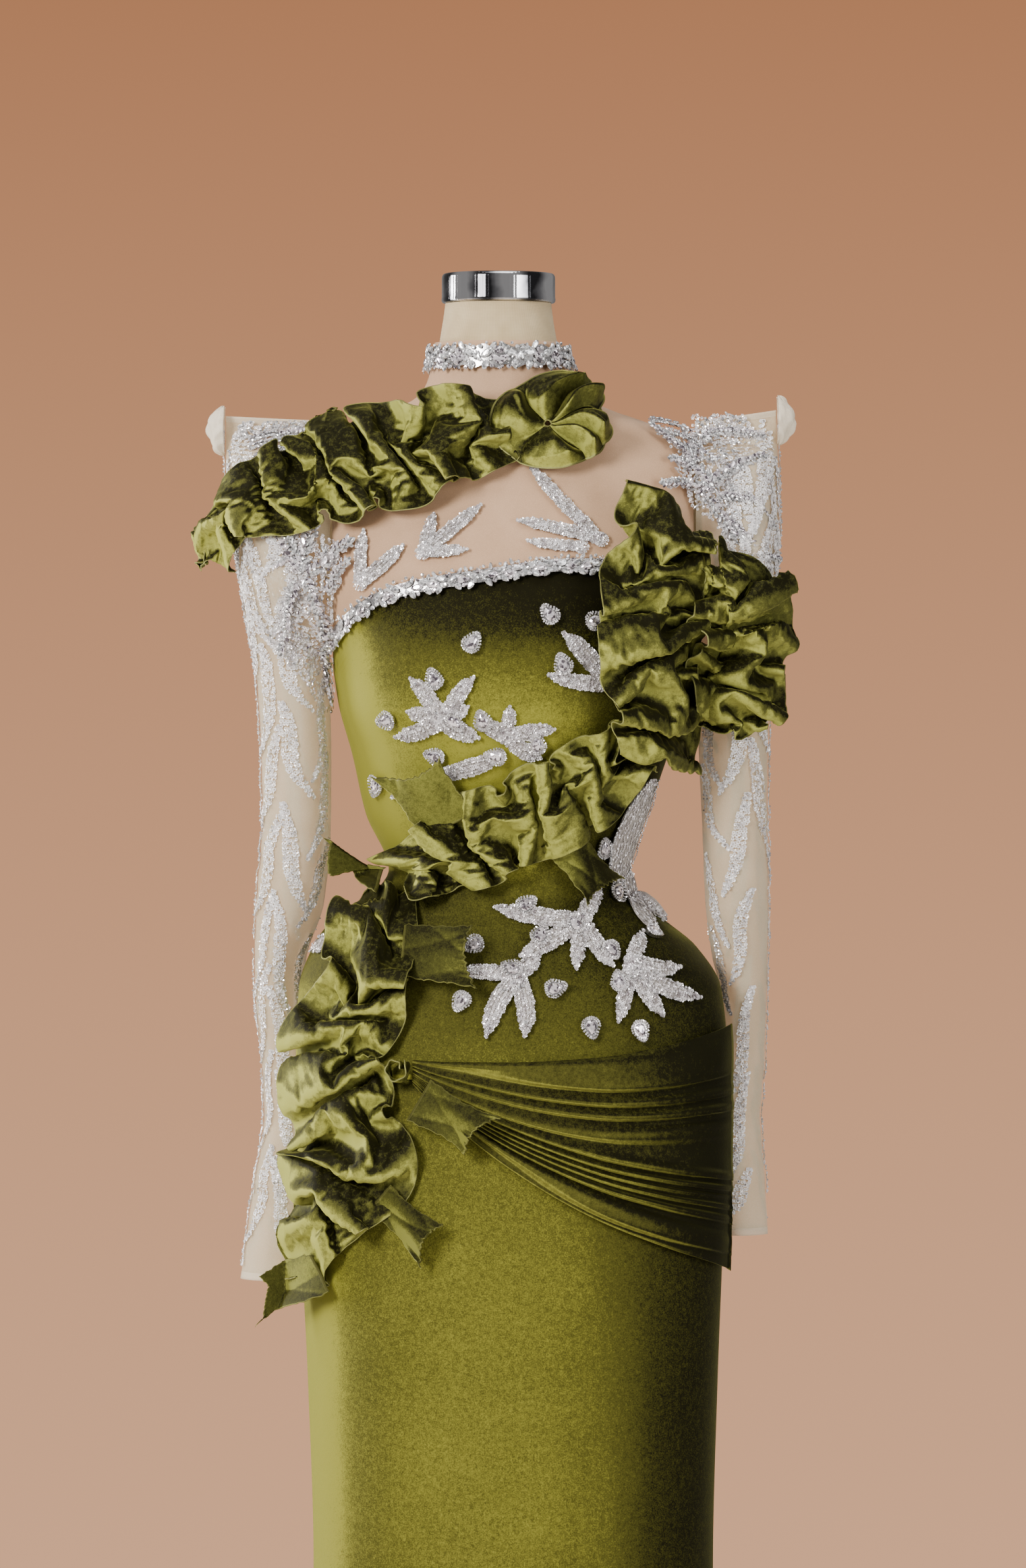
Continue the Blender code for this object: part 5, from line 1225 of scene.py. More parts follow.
# each pleat starts at the knot, wanders a little, and some die out or fork before the side seam
phase = (PLEATS * v + 0.80 * np.sin(7.3 * v + 0.9) + 0.45 * np.sin(15.1 * v + 2.0) + 0.40 * wander(2.1 * v + 0.35 * u, 11)
         + 0.30 * u * wander(1.7 * v, 12) + 0.10 * np.sin(5 * u + 9 * v))
number = np.floor(phase)
share = phase - number
rng = np.random.default_rng(5)
tall = 0.55 + 0.45 * rng.random(64)
fades = rng.random(64)
size = tall[number.astype(int) % 64] * (1 - 0.55 * smoothstep(0.55, 1.0, u) * (fades[number.astype(int) % 64] > 0.6))
# a pleat is a flat band that slopes up to a sharp lower fold, under which the next one starts
fold_height = smoothstep(0.0, 0.72, share) ** 0.8 * smoothstep(1.0, 0.90, share) * size
second = np.sin(PI * ((2 * phase + 0.35) % 1.0)) ** 1.5 * smoothstep(0.35, 0.8, u) * 0.18
hem = smoothstep(0.0, 0.02, v) * smoothstep(1.0, 0.985, v)
lift = ((0.0016 + 0.0050 * np.minimum(1.0, 1.5 * u)) * (fold_height + second) * (0.25 + 0.75 * hem)
        * (1 - 0.80 * smoothstep(0.90, 1.0, u)))
sag = 0.0018 * smoothstep(0.15, 0.6, u) * np.sin(PI * v) * u
P = on_body(x, z - sag, 0.0030 + 0.0024 * u * u + 0.0013 + lift)
piece = shell("hip_drape_velvet", P, VELVET, [MAT_DRAPE], outward=from_axis, replaces=("hip_drape",), slot="velvet")
declare(P, ("skirt_front_velvet", "bodice_front_velvet", "drape_knot_velvet"))

KNOT_X, KNOT_Z = -0.0925, 0.9400
t = np.linspace(0, 1, 96)[None, :] * np.ones((30, 1))
r = np.linspace(0, 1, 30)[:, None] * np.ones((1, 96))
turn = 2 * PI * 1.10 * t
radius = 0.0050 + 0.0048 * t + 0.0006 * np.sin(5 * turn + 4 * r)
P = on_body(KNOT_X + radius * np.cos(turn), KNOT_Z + 1.25 * radius * np.sin(turn),
            0.0045 + 0.0115 * r + 0.0008 * np.sin(3 * turn))
piece = shell("drape_knot_velvet", P, 0.0011, [MAT_RUFFLE, MAT_EDGE], edge_columns=1, replaces=("drape_knot",), slot="velvet")
declare(P, ("hip_drape_velvet",))


# ---------------------------------------------------------------- ruffles
# One wide strip of velvet is settled as cloth on a flat bed: it is tacked down at scattered points, which are drawn
# together while the rest puffs up, and stretches of it are then laid along each ruffle's line.
STRIP_LENGTH, STRIP_HALF, STRIP_CELL = 0.260, 0.040, 0.0050
STRIP_REACH = 0.056     # how far the free edges spread from the middle once they puff out
SPARE_LONG, SPARE_WIDE = 2.5, 1.7
TACK_STEP, TACK_ROW, TACK_JITTER = 0.050, 0.50, 0.007


def flat_strip():
    length, width = STRIP_LENGTH * SPARE_LONG, 2 * STRIP_HALF * SPARE_WIDE
    cols, rows = int(length / STRIP_CELL) + 1, int(width / STRIP_CELL) + 1
    rng = np.random.default_rng(3)
    x, y = np.meshgrid(np.linspace(0, length, cols), np.linspace(-width / 2, width / 2, rows))
    f = x / SPARE_LONG / 0.021
    phase = (2 * PI * (f + 0.35 * np.sin(1.7 * f + 0.5) + 0.25 * np.sin(0.83 * f + 2)) + 3.2 * y / width
             + 2.6 * np.sin(2.1 * f) * y / width)
    z = 0.004 + 0.003 * np.sin(phase) + 0.0006 * rng.standard_normal(x.shape)
    return np.stack([x, y, z], -1)


def drawn_up(flat):
    """Where each point of the strip goes as its tacks are drawn together."""
    return np.stack([flat[..., 0] / SPARE_LONG, flat[..., 1] / SPARE_WIDE, np.full(flat.shape[:2], 0.004)], -1)


def tacks(rows, cols):
    """Three staggered lines of tacked points."""
    rng = np.random.default_rng(8)
    found = []
    for line in (-1, 0, 1):
        for i in range(int(STRIP_LENGTH / TACK_STEP) + 1):
            x = (i + (0.5 if line == 0 else 0.0)) * TACK_STEP + TACK_JITTER * (2 * rng.random() - 1)
            y = line * TACK_ROW * STRIP_HALF + TACK_JITTER * (2 * rng.random() - 1)
            if 0 <= x <= STRIP_LENGTH:
                row = int(round((y / STRIP_HALF + 1) / 2 * (rows - 1)))
                found.append(min(max(row, 1), rows - 2) * cols + int(round(x / STRIP_LENGTH * (cols - 1))))
    return found


def settled_strip():
    flat = flat_strip()
    rows, cols = flat.shape[:2]
    scene = bpy.context.scene
    mesh = bpy.data.meshes.new("strip")
    mesh.from_pydata([tuple(p) for p in flat.reshape(-1, 3)], [], [tuple(q) for q in grid_quads(rows, cols).tolist()])
    strip = bpy.data.objects.new("strip", mesh)
    scene.collection.objects.link(strip)
    strip.shape_key_add(name="Basis")
    key = strip.shape_key_add(name="drawn_up")
    key.data.foreach_set("co", drawn_up(flat).reshape(-1).astype(np.float32))
    tacked = strip.vertex_groups.new(name="tacked")
    tacked.add(tacks(rows, cols), 1.0, "REPLACE")
    bed_mesh = bpy.data.meshes.new("bed")
    bed_mesh.from_pydata([(-1, -1, 0), (2, -1, 0), (2, 1, 0), (-1, 1, 0)], [], [(0, 1, 2, 3)])
    bed = bpy.data.objects.new("bed", bed_mesh)
    scene.collection.objects.link(bed)
    bed.modifiers.new("bed", "COLLISION")
    bed.collision.thickness_outer = 0.001
    bed.collision.damping = 0.5
    bed.collision.cloth_friction = 5
    cloth = strip.modifiers.new("cloth", "CLOTH")
    velvet = cloth.settings
    velvet.quality, velvet.mass, velvet.air_damping = 6, 0.15, 2.0
    velvet.tension_stiffness = velvet.compression_stiffness = 25
    velvet.shear_stiffness, velvet.bending_stiffness = 12, 120
    velvet.tension_damping = velvet.compression_damping = velvet.shear_damping = 8
    velvet.bending_damping = 1.0
    velvet.vertex_group_mass = "tacked"
    touch = cloth.collision_settings
    touch.distance_min = 0.0012
    touch.use_self_collision = True
    touch.self_distance_min, touch.self_friction, touch.collision_quality = 0.0016, 3, 2
    cloth.point_cache.frame_end = 60
    gravity = tuple(scene.gravity)
    scene.gravity = (0.0, 0.0, 2.5)
    for value, number in ((0.0, 1), (1.0, 22)):
        key.value = value
        key.keyframe_insert("value", frame=number)
    for number in range(1, 33):
        scene.frame_set(number)
    shape = strip.evaluated_get(bpy.context.evaluated_depsgraph_get()).to_mesh()
    co = np.empty(len(shape.vertices) * 3, np.float32)
    shape.vertices.foreach_get("co", co)
    scene.gravity = gravity
    pull = mesh.shape_keys.animation_data.action
    for obj in (strip, bed):
        bpy.data.objects.remove(obj, do_unlink=True)
    bpy.data.actions.remove(pull)
    bpy.data.meshes.remove(mesh)
    bpy.data.meshes.remove(bed_mesh)
    scene.frame_set(1)
    return co.reshape(rows, cols, 3).astype(float)


def finer(P, axis):
    """Twice the rows or columns, on a smooth curve through the old ones."""
    P = np.moveaxis(P, axis, 0)
    padded = np.concatenate([2 * P[:1] - P[1:2], P, 2 * P[-1:] - P[-2:-1]])
    between = (9 * (P[:-1] + P[1:]) - padded[:-3] - padded[3:]) / 16
    out = np.empty((2 * len(P) - 1,) + P.shape[1:])
    out[0::2], out[1::2] = P, between
    return np.moveaxis(out, 0, axis)


def with_edges(P):
    """Adds a row close to each long edge, so that the raw edge can have its own colour."""
    return np.concatenate([P[:1], 0.66 * P[:1] + 0.34 * P[1:2], P[1:-1], 0.34 * P[-2:-1] + 0.66 * P[-1:], P[-1:]])


STRIP = settled_strip()
if STRIP is None:
    flat = flat_strip()
    STRIP = drawn_up(flat)
    f = STRIP[..., 0] / 0.021
    w = flat[..., 1] / STRIP_HALF / SPARE_WIDE
    STRIP[..., 1] *= STRIP_REACH / STRIP_HALF
    STRIP[..., 0] += 0.006 * w * np.sin(2 * PI * f)
    STRIP[..., 2] = 0.016 + 0.013 * np.sin(2 * PI * f + 2 * w) * (0.4 + 0.6 * np.abs(w))
STRIP = with_edges(finer(finer(STRIP, 0), 1))


def path_of(table):
    rows = [dict(zip(RUFFLE_COLUMNS, row)) for row in table]
    lengths = [0.0]
    for a, b in zip(rows, rows[1:]):
        lengths.append(lengths[-1] + math.hypot(b["x"] - a["x"], b["z"] - a["z"]))
    shares = [l / lengths[-1] for l in lengths]
    value = {name: smooth_curve(shares, [row[name] for row in rows]) for name in RUFFLE_COLUMNS}

    def at(s):
        s = np.clip(s, 0.0, 1.0)
        a, b = np.maximum(s - 0.05, 0.0), np.minimum(s + 0.05, 1.0)
        tx, tz = value["x"](b) - value["x"](a), value["z"](b) - value["z"](a)
        size = np.hypot(tx, tz)
        return value["x"](s), value["z"](s), tx / size, tz / size, value["half"](s), value["lift"](s)

    return at, lengths[-1]


def part_of_strip(first, last, turned, over):
    """A stretch of the settled strip: s from 0 to 1 along it, w from -1 to 1 across, and h out."""
    cols = STRIP.shape[1]
    G = STRIP[:, int(first * (cols - 1)):int(last * (cols - 1)) + 1]
    s = (G[..., 0] / STRIP_LENGTH - first) / (last - first)
    w = G[..., 1] / STRIP_REACH
    if turned:
        s = 1.0 - s
    if over:
        w = -w
    return s, w, G[..., 2]


def ruched(table, place, first, last, turned, over, wide, tall, base):
    s, w, h = part_of_strip(first, last, turned, over)
    at, length = path_of(table)
    x, z, tx, tz, half, lift = at(s)
    beyond = 0.012 * np.tanh((s - np.clip(s, 0.0, 1.0)) * length / 0.012)
    across = w * half * wide
    return place(x + tx * beyond - tz * across, z + tz * beyond + tx * across, base + h * lift / 0.036 * tall)


RUCHED_COLUMNS = ("node", "table", "place", "first", "last", "turned", "over", "wide", "tall", "base", "rests_on")
RUFFLES = (
    ("ruffle_shoulder", RUFFLE_SHOULDER, on_upper, 0.06, 0.96, False, False, 0.96, 0.74, 0.0030,
     ("yoke_front_tulle", "sleeve_right_tulle")),
    ("ruffle_bust_inner", RUFFLE_BUST_INNER, on_upper, 0.22, 0.86, True, True, 1.10, 0.74, 0.0030, ("bodice_front_velvet",)),
    ("ruffle_bust_outer", RUFFLE_BUST_OUTER, on_upper, 0.10, 0.60, False, True, 1.28, 0.74, 0.0045,
     ("bodice_front_velvet", "sleeve_left_tulle")),
    ("ruffle_waist", RUFFLE_WAIST, on_body, 0.08, 0.78, True, False, 0.98, 0.74, 0.0030, ("bodice_front_velvet",)),
    ("ruffle_hip", RUFFLE_HIP, on_body, 0.04, 0.96, True, True, 1.02, 0.74, 0.0030, ("bodice_front_velvet", "skirt_front_velvet")),
)
for row in RUFFLES:
    f = dict(zip(RUCHED_COLUMNS, row))
    P = ruched(*(f[key] for key in RUCHED_COLUMNS[1:-1]))
    piece = shell(f["node"] + "_velvet", P, 0.0010, [MAT_RUFFLE, MAT_EDGE], outward=to_front, edge_columns=1,
                  replaces=(f["node"],), slot="velvet")
    declare(P, f["rests_on"])

# rosette at the end of the shoulder ruffle: petals of uneven width and height drawn to a pinched centre; each petal
# leans over its neighbour, its crease curves outwards, and its rim rolls back to the yoke
PETALS = 6
far = np.concatenate([np.linspace(0.02, 0.970, 47), [1.0]])[:, None] * np.ones((1, 216))
t = np.linspace(0.0, 1.0, 216)[None, :] * np.ones((48, 1))
phase = PETALS * t + 0.46 * np.sin(2 * PI * t + 0.6) + 0.16 * np.sin(4 * PI * t + 1.9)
petal = np.floor(phase).astype(int) % (PETALS + 1)
rng = np.random.default_rng(23)
tall, lean = (0.55 + 0.70 * rng.random(PETALS + 1))[petal], (0.3 + 1.0 * rng.random(PETALS + 1))[petal]
share = phase - np.floor(phase)
arch = np.sin(PI * share ** (1.0 + 0.45 * lean)) ** 0.70
second = np.maximum(0.0, np.sin(2.4 * PI * share + 1.9 * petal + 3.0 * far)) ** 1.4 * smoothstep(0.30, 0.80, far) * arch
tucked = smoothstep(0.0, 0.06, t) * smoothstep(1.0, 0.94, t)
puff = (0.35 + 0.65 * tucked) * smoothstep(0.0, 0.46, far) * (1 - 0.70 * smoothstep(0.78, 1.0, far)) * (1 + 0.25 * np.sin(4 * far + 2.1 * petal))
turn = (2 * PI * (-0.030 + 1.060 * t) + 0.5 + 0.30 * np.sin(2.6 * far + 1.7 * (petal % PETALS)) * far
        - 0.30 * lean * arch * smoothstep(0.25, 0.9, far))
radius = 0.0012 + (ROSETTE_R + 0.0025) * (0.84 + 0.16 * tucked) * far * (1 + 0.12 * tall * (arch - 0.55) * far + 0.02 * np.sin(19 * t + 5 * far))
stretch = 1.29 + 0.08 * np.cos(turn)
rise = 1 + 0.16 * np.clip(np.sin(turn), 0, 1)
P = on_upper(ROSETTE_X - 0.002 + stretch * radius * np.cos(turn), ROSETTE_Z + rise * radius * np.sin(turn),
             0.0040 + 0.0220 * tall * arch * puff + 0.0080 * second * puff + 0.0050 * (1 - far) ** 3)
piece = shell("ruffle_rosette_velvet", P, 0.0010, [MAT_RUFFLE, MAT_EDGE], outward=to_front, edge_columns=1,
              replaces=("ruffle_rosette",), slot="velvet")
declare(P, ("yoke_front_tulle",))

# raw-edged flaps
for i, row in enumerate(FLAPS):
    f = dict(zip(FLAP_COLUMNS, row))
    ux, uz = math.cos(math.radians(f["direction"])), math.sin(math.radians(f["direction"]))
    a = np.concatenate([np.linspace(0, 0.975, 30), [1.0]])[:, None] * np.ones((1, 37))
    b = np.concatenate([[-1.0], np.linspace(-0.965, 0.965, 35), [1.0]])[None, :] * np.ones((31, 1))
    spread = 0.80 + 0.62 * (a - 0.42) ** 2 * a ** 0.5 + 0.06 * np.sin(4 * a + 2 * i)
    ragged = wander(9 * b + 3 * i, 40 + i) * 0.022 + 0.010 * np.sin(37 * b + i)
    frayed = 0.035 * wander(8 * a + 5 * i, 60 + i) * np.sign(b) * smoothstep(0.6, 1.0, np.abs(b))
    corners = a ** 3 * (0.15 * (b * b - 0.40) + 0.09 * b * (-1) ** i) + smoothstep(0.8, 1.0, a) * ragged
    along = -0.014 + (f["length"] + 0.012) * (a + corners)
    across = (b * spread + frayed) * 1.18 * f["width"] / 2
    wave = (0.0044 * np.sin(1.7 * b + 1.8 * a + 10 * f["x"]) + 0.0018 * a * np.sin(2.4 * b + 1.7 * i)
            + 0.0014 * np.sin(3.8 * a + 1.3 * b + i))
    curl = 0.0050 * (smoothstep(0.72, 1.0, b * (-1) ** i) * smoothstep(0.60, 1.0, a))
    crumple = 0.0034 * (np.abs(np.sin(1.5 * b + 2.4 * a + 1.3 * i)) ** 0.7 - 0.6) + 0.0016 * (
        np.abs(np.sin(2.7 * b - 2.1 * a + 2.1 * i)) ** 0.7 - 0.6)
    out = np.maximum(0.004 + f["start"] + (f["stand"] - f["start"]) * a + (wave + crumple) * (0.3 + 0.7 * a) + curl, 0.0040)
    P = on_body(f["x"] + ux * along - uz * across, f["z"] + uz * along + ux * across, out)
    points, quads, marks = shell_arrays(P, 0.0010, to_front, 1)
    rows, cols = P.shape[:2]
    column = np.tile(np.arange(cols - 1), rows - 1)
    rim = ((column == 0) | (column == cols - 2)).astype(int)
    marks[:len(rim)] |= rim
    marks[len(rim):2 * len(rim)] |= rim
    piece = make(f["name"] + "_velvet", points, [quads], [MAT_FLAP, MAT_FLAP_EDGE], index=marks, replaces=(f["name"],), slot="velvet")
    declare(P, ("bodice_front_velvet" if f["z"] > 0.95 else "skirt_front_velvet",))

# ---------------------------------------------------------------- crystals, sequins and beads
SPARKLE = [MAT_BACKING, MAT_SEQUIN, MAT_BEAD, MAT_CRYSTAL, MAT_SETTING, MAT_PEARL]
BACKING, SEQUIN, BEAD, CRYSTAL, SETTING, PEARL = range(6)
STONE, PINK = (CRYSTAL, SETTING), (PEARL, SETTING)


def flat_body(x, z):
    return on_body(x, z, 0.0)


def front_cloth(x, z):
    """The cloth that faces the front at this place, rounded a little over the armhole seam."""
    total, weight = 0.0, 0.0
    for i in (-2, -1, 0, 1, 2):
        w = math.exp(-0.35 * i * i)
        at = x + 0.0035 * i
        closing = smoothstep(1.4450, 1.4740, z) * (np.abs(at) > SLEEVE_X)     # the sleeve head closes to its top edge
        total = total + w * (front_y(at, z) * (1 - closing) - 0.0030 * closing)
        weight += w
    x, z = np.broadcast_arrays(np.asarray(x, float), np.asarray(z, float))
    return np.stack([x, total / weight, z], -1)


def trail(surface, p, q, pitch, out):
    """Evenly spaced places along a curve on a surface: place, normal and heading."""
    P = surface(p, q)
    run = np.concatenate([[0.0], np.cumsum(np.linalg.norm(np.diff(P, axis=0), axis=-1))])
    at = np.linspace(0.0, run[-1], max(3, int(run[-1] / pitch) + 1))
    p, q = np.interp(at, run, p), np.interp(at, run, q)
    place, normal, _ = frames(surface, p, q, np.zeros_like(p), np.full(p.shape, float(out)))
    return place, normal, unit(np.gradient(place, axis=0))


def arm_places(x, z, arm, pitch, lanes):
    """Places over one leaf-shaped arm: x and z on a grid along by across, its heading, and how far out each lane is."""
    n = max(6, int(arm["length"] / pitch))
    t = np.linspace(0.0, 1.0, n)
    heading = np.radians(arm["direction"] + arm["bend"] * np.clip(1.5 * t - 0.25, 0.0, 1.0))
    step = arm["length"] / (n - 1)
    cx = x + np.concatenate([[0.0], np.cumsum(step * np.cos(heading[:-1]))])
    cz = z + np.concatenate([[0.0], np.cumsum(step * np.sin(heading[:-1]))])
    w = arm["half"] * (1.0 - 0.45 * np.abs(t - 0.45)) * (1.0 - smoothstep(0.74, 1.03, t)) ** 0.75
    lane = np.linspace(-1.0, 1.0, lanes)[None, :]
    return (cx[:, None] - np.sin(heading)[:, None] * lane * w[:, None],
            cz[:, None] + np.cos(heading)[:, None] * lane * w[:, None],
            heading[:, None] * np.ones((1, lanes)), lane * np.ones((n, 1)), w)


def spray(name, x, z, arms, seed):
    """One sequinned applique: net backing, lanes of sequins, a beaded outline and small stones down the middle."""
    rng = np.random.default_rng(seed)
    bag = Bag()
    for arm in (dict(zip(ARM_COLUMNS, arm)) for arm in arms):
        px, pz, _, _, _ = arm_places(x, z, arm, 0.0030, 5)
        points, quads, _ = shell_arrays(on_body(px, pz, 0.0023), 0.0010, to_front)
        bag.add_mesh(points, quads, BACKING)
        lanes = 6 if arm["half"] > 0.0050 else 5
        px, pz, heading, lane, _ = arm_places(x, z, arm, 0.0020, lanes)
        px = px + 0.00028 * rng.standard_normal(px.shape)
        pz = pz + 0.00028 * rng.standard_normal(px.shape)
        place, normal, along = frames(flat_body, px.ravel(), pz.ravel(), heading.ravel(),
                                      0.0027 + 0.0005 * rng.random(px.size))
        bag.add("ring", place, tilted(normal, rng, 0.34), along, 0.00112 + 0.00042 * rng.random(px.size), (SEQUIN, SEQUIN))
        edge = (np.abs(lane.ravel()) > 0.99) & (rng.random(px.size) < 0.42)
        bag.add("ring", place[edge] + normal[edge] * 0.0006, tilted(normal[edge], rng, 0.26), along[edge], 0.0017, (BEAD, BEAD))
        core = (np.abs(lane.ravel()) < 0.4) & (rng.random(px.size) < 0.055)
        bag.add("round", place[core] + normal[core] * 0.0007, normal[core], along[core],
                (0.0014, 0.0014, 0.0016), STONE)
    ring = np.concatenate([np.full(max(1, int(2 * PI * r / 0.0018)), r) for r in (0.0002, 0.0019, 0.0037, 0.0054)])
    turn = rng.random(len(ring)) * 0.3 + np.arange(len(ring)) * 2.39996
    place, normal, along = frames(flat_body, x + ring * np.cos(turn), z + ring * np.sin(turn), turn,
                                  np.full(ring.shape, 0.0030))
    bag.add("ring", place, tilted(normal, rng, 0.18), along, 0.0011, (SEQUIN, SEQUIN))
    bag.build(name + "_sequins", SPARKLE, replaces=(name,), slot="sequins")


for i, (name, x, z, arms) in enumerate(SPRAYS):
    spray(name, x, z, arms, 300 + i)

# pear-shaped stones, each in a ring of beads
PEAR_COLUMNS = ("x", "z", "turn")
BUST_PEARS = (
    (-0.0336, 1.2900, 55), (0.0303, 1.3125, 128), (0.0660, 1.3081, 20), (0.0407, 1.2724, 110), (-0.1018, 1.2284, 190),
    (-0.0633, 1.2603, 112), (-0.0242, 1.2267, 108), (-0.0132, 1.1987, 170), (0.0193, 1.2075, 98), (-0.0622, 1.1987, 165),
    (-0.1111, 1.1750, 250), (0.0781, 1.2625, 140), (-0.0480, 1.2270, 320),
)
HIP_PEARS = (
    (0.0099, 1.0744, 35), (-0.0314, 1.0425, 205), (0.0220, 1.0491, 70), (0.0512, 1.0579, 120), (0.0798, 1.0381, 300),
    (0.0847, 1.0848, 60), (0.0737, 1.1217, 95), (0.1144, 1.0518, 330), (0.0336, 1.0062, 15), (-0.0418, 0.9968, 240),
    (0.0633, 0.9754, 280), (0.0864, 1.0106, 100), (0.1034, 0.9726, 290), (0.0000, 1.0221, 160),
)


def pears(name, table, seed):
    rng = np.random.default_rng(seed)
    bag = Bag()
    rows = [dict(zip(PEAR_COLUMNS, row)) for row in table]
    x, z, turn = (np.array([row[key] for row in rows], float) for key in PEAR_COLUMNS)
    place, normal, along = frames(flat_body, x, z, np.radians(turn), np.full(x.shape, 0.0042))
    side = np.cross(normal, along)
    bag.add("pad", place, normal, along, (0.0092, 0.0078, 0.0034), (SETTING, SETTING))
    bag.add("pear", place + normal * 0.0006, normal, along, (0.0066, 0.0066, 0.0040), PINK)
    for count, far, wide, size in ((20, 1.20, 1.28, 0.00100), (26, 1.46, 1.62, 0.00115)):
        for ox, oy in drop_outline(count, 0.72):
            jitter = 0.00014 * rng.standard_normal((len(x), 2))
            p = place + along * (far * 0.0066 * ox + jitter[:, :1]) + side * (wide * 0.0066 * oy + jitter[:, 1:])
            bag.add("bead", p + normal * 0.0004, tilted(normal, rng, 0.3), along, size, (BEAD, BEAD))
    bag.build(name, SPARKLE, slot="crystals")


pears("bust_pear_crystals", BUST_PEARS, 401)
pears("hip_pear_crystals", HIP_PEARS, 402)

# ---------------------------------------------------------------- choker and neckline trim
MOTIF_COLUMNS = ("kind", "along", "up", "turn", "long", "wide")
CHOKER_STEP = 0.0162
CHOKER_MOTIF = (
    ("marquise", -0.0010, 0.0025, 24, 0.0064, 0.0036),
    ("marquise", 0.0066, -0.0030, -34, 0.0062, 0.0036),
    ("marquise", 0.0042, 0.0075, 66, 0.0050, 0.0030),
    ("pear", -0.0028, -0.0074, -98, 0.0047, 0.0047),
    ("pear", 0.0090, 0.0040, 140, 0.0042, 0.0042),
    ("marquise", -0.0072, -0.0010, -62, 0.0044, 0.0026),
    ("round", -0.0058, 0.0072, 0, 0.0022, 0.0022),
    ("round", 0.0020, -0.0090, 0, 0.0021, 0.0021),
    ("round", 0.0022, -0.0034, 0, 0.0018, 0.0018),
    ("round", -0.0018, 0.0102, 0, 0.0015, 0.0015),
    ("round", 0.0070, -0.0100, 0, 0.0017, 0.0017),
    ("round", 0.0010, 0.0060, 0, 0.0014, 0.0014),
)
TRIM_STEP = 0.0126
TRIM_MOTIF = (
    ("marquise", -0.0006, 0.0016, 22, 0.0058, 0.0033),
    ("marquise", 0.0060, -0.0012, 12, 0.0054, 0.0031),
    ("pear", 0.0014, -0.0056, -52, 0.0042, 0.0040),
    ("round", -0.0036, -0.0042, 0, 0.0021, 0.0021),
    ("round", 0.0058, -0.0056, 0, 0.0019, 0.0019),
    ("marquise", 0.0034, 0.0058, 70, 0.0034, 0.0021),
    ("round", -0.0010, 0.0070, 0, 0.0017, 0.0017),
    ("round", -0.0052, 0.0040, 0, 0.0014, 0.0014),
)


def stones(name, surface, motif, step, start, end, middle, base, seed, backing, **kw):
    """A motif repeated along a band, each copy a little different and every other one turned over."""
    rng = np.random.default_rng(seed)
    bag = Bag()
    bag.add_mesh(*backing, SETTING)
    count = int(round((end - start) / step))
    step = (end - start) / count
    rows = [dict(zip(MOTIF_COLUMNS, row)) for row in motif]
    k = np.arange(count)
    flip = np.where((k * 7 % 5) < 2, -1.0, 1.0)
    for i, row in enumerate(rows):
        lean = np.where(flip < 0, 180.0 - row["turn"], row["turn"]) + 9 * rng.standard_normal(count)
        s = start + (k + 0.5) * step + flip * row["along"] + 0.0005 * rng.standard_normal(count)
        h = middle + row["up"] + 0.0006 * rng.standard_normal(count)
        s = np.clip(s, start, end)
        place, normal, along = frames(surface, s, h, np.radians(lean), np.full(count, base + 0.0003 * (i % 4)))
        bag.add(row["kind"], place, tilted(normal, rng, 0.12), along,
                (row["long"], row["long"] if row["kind"] != "pear" else row["wide"], 0.0022 + 0.25 * row["wide"]),
                PINK if i % 3 == 1 else STONE)
    fill = int((end - start) / 0.0011)
    s, h = start + (end - start) * rng.random(fill), middle + 0.0072 * (2 * rng.random(fill) - 1)
    place, normal, along = frames(surface, s, h, 6.28 * rng.random(fill), np.full(fill, base - 0.0006))
    bag.add("bead", place, tilted(normal, rng, 0.3), along, 0.00105, (BEAD, BEAD))
    bag.build(name, SPARKLE, slot="crystals", **kw)


CHOKER_R = 0.0540


def choker_surface(s, h):
    return body(h, np.asarray(s) / CHOKER_R, 0.0)


s, h = np.meshgrid(np.linspace(-PI + 0.008, PI - 0.008, 190) * CHOKER_R, np.linspace(-1, 1, 7))
h = 1.5292 + h * (0.0088 + 0.0014 * np.sin(s * 390) * h)
backing = shell_arrays(body(h, s / CHOKER_R, 0.0034), 0.0010, from_axis)[:2]
stones("choker_crystals", choker_surface, CHOKER_MOTIF, CHOKER_STEP, -(PI - 0.09) * CHOKER_R, (PI - 0.09) * CHOKER_R,
       1.5292, 0.0044, 501, backing, replaces=("choker",))

TRIM_X = np.linspace(-0.1508, 0.1512, 500)
TRIM_RUN = np.concatenate([[0.0], np.cumsum(np.hypot(np.diff(TRIM_X), np.diff(NECKLINE_AT(TRIM_X))))])


def trim_place(s, d):
    x = np.interp(s, TRIM_RUN, TRIM_X)
    slope = (NECKLINE_AT(x + 0.002) - NECKLINE_AT(x - 0.002)) / 0.004
    run = np.sqrt(1 + slope ** 2)
    return x - d * slope / run, NECKLINE_AT(x) + d / run


def trim_surface(s, d):
    return on_body(*trim_place(np.asarray(s, float), np.asarray(d, float)), 0.0)


s, d = np.meshgrid(np.linspace(0.0, TRIM_RUN[-1], 260), np.linspace(-0.0052, 0.0052, 5))
backing = shell_arrays(on_body(*trim_place(s, d), 0.0032), 0.0010, from_axis)[:2]
stones("neckline_trim_crystals", trim_surface, TRIM_MOTIF, TRIM_STEP, 0.003, TRIM_RUN[-1] - 0.003, 0.0, 0.0042, 502,
       backing, replaces=("neckline_trim",))

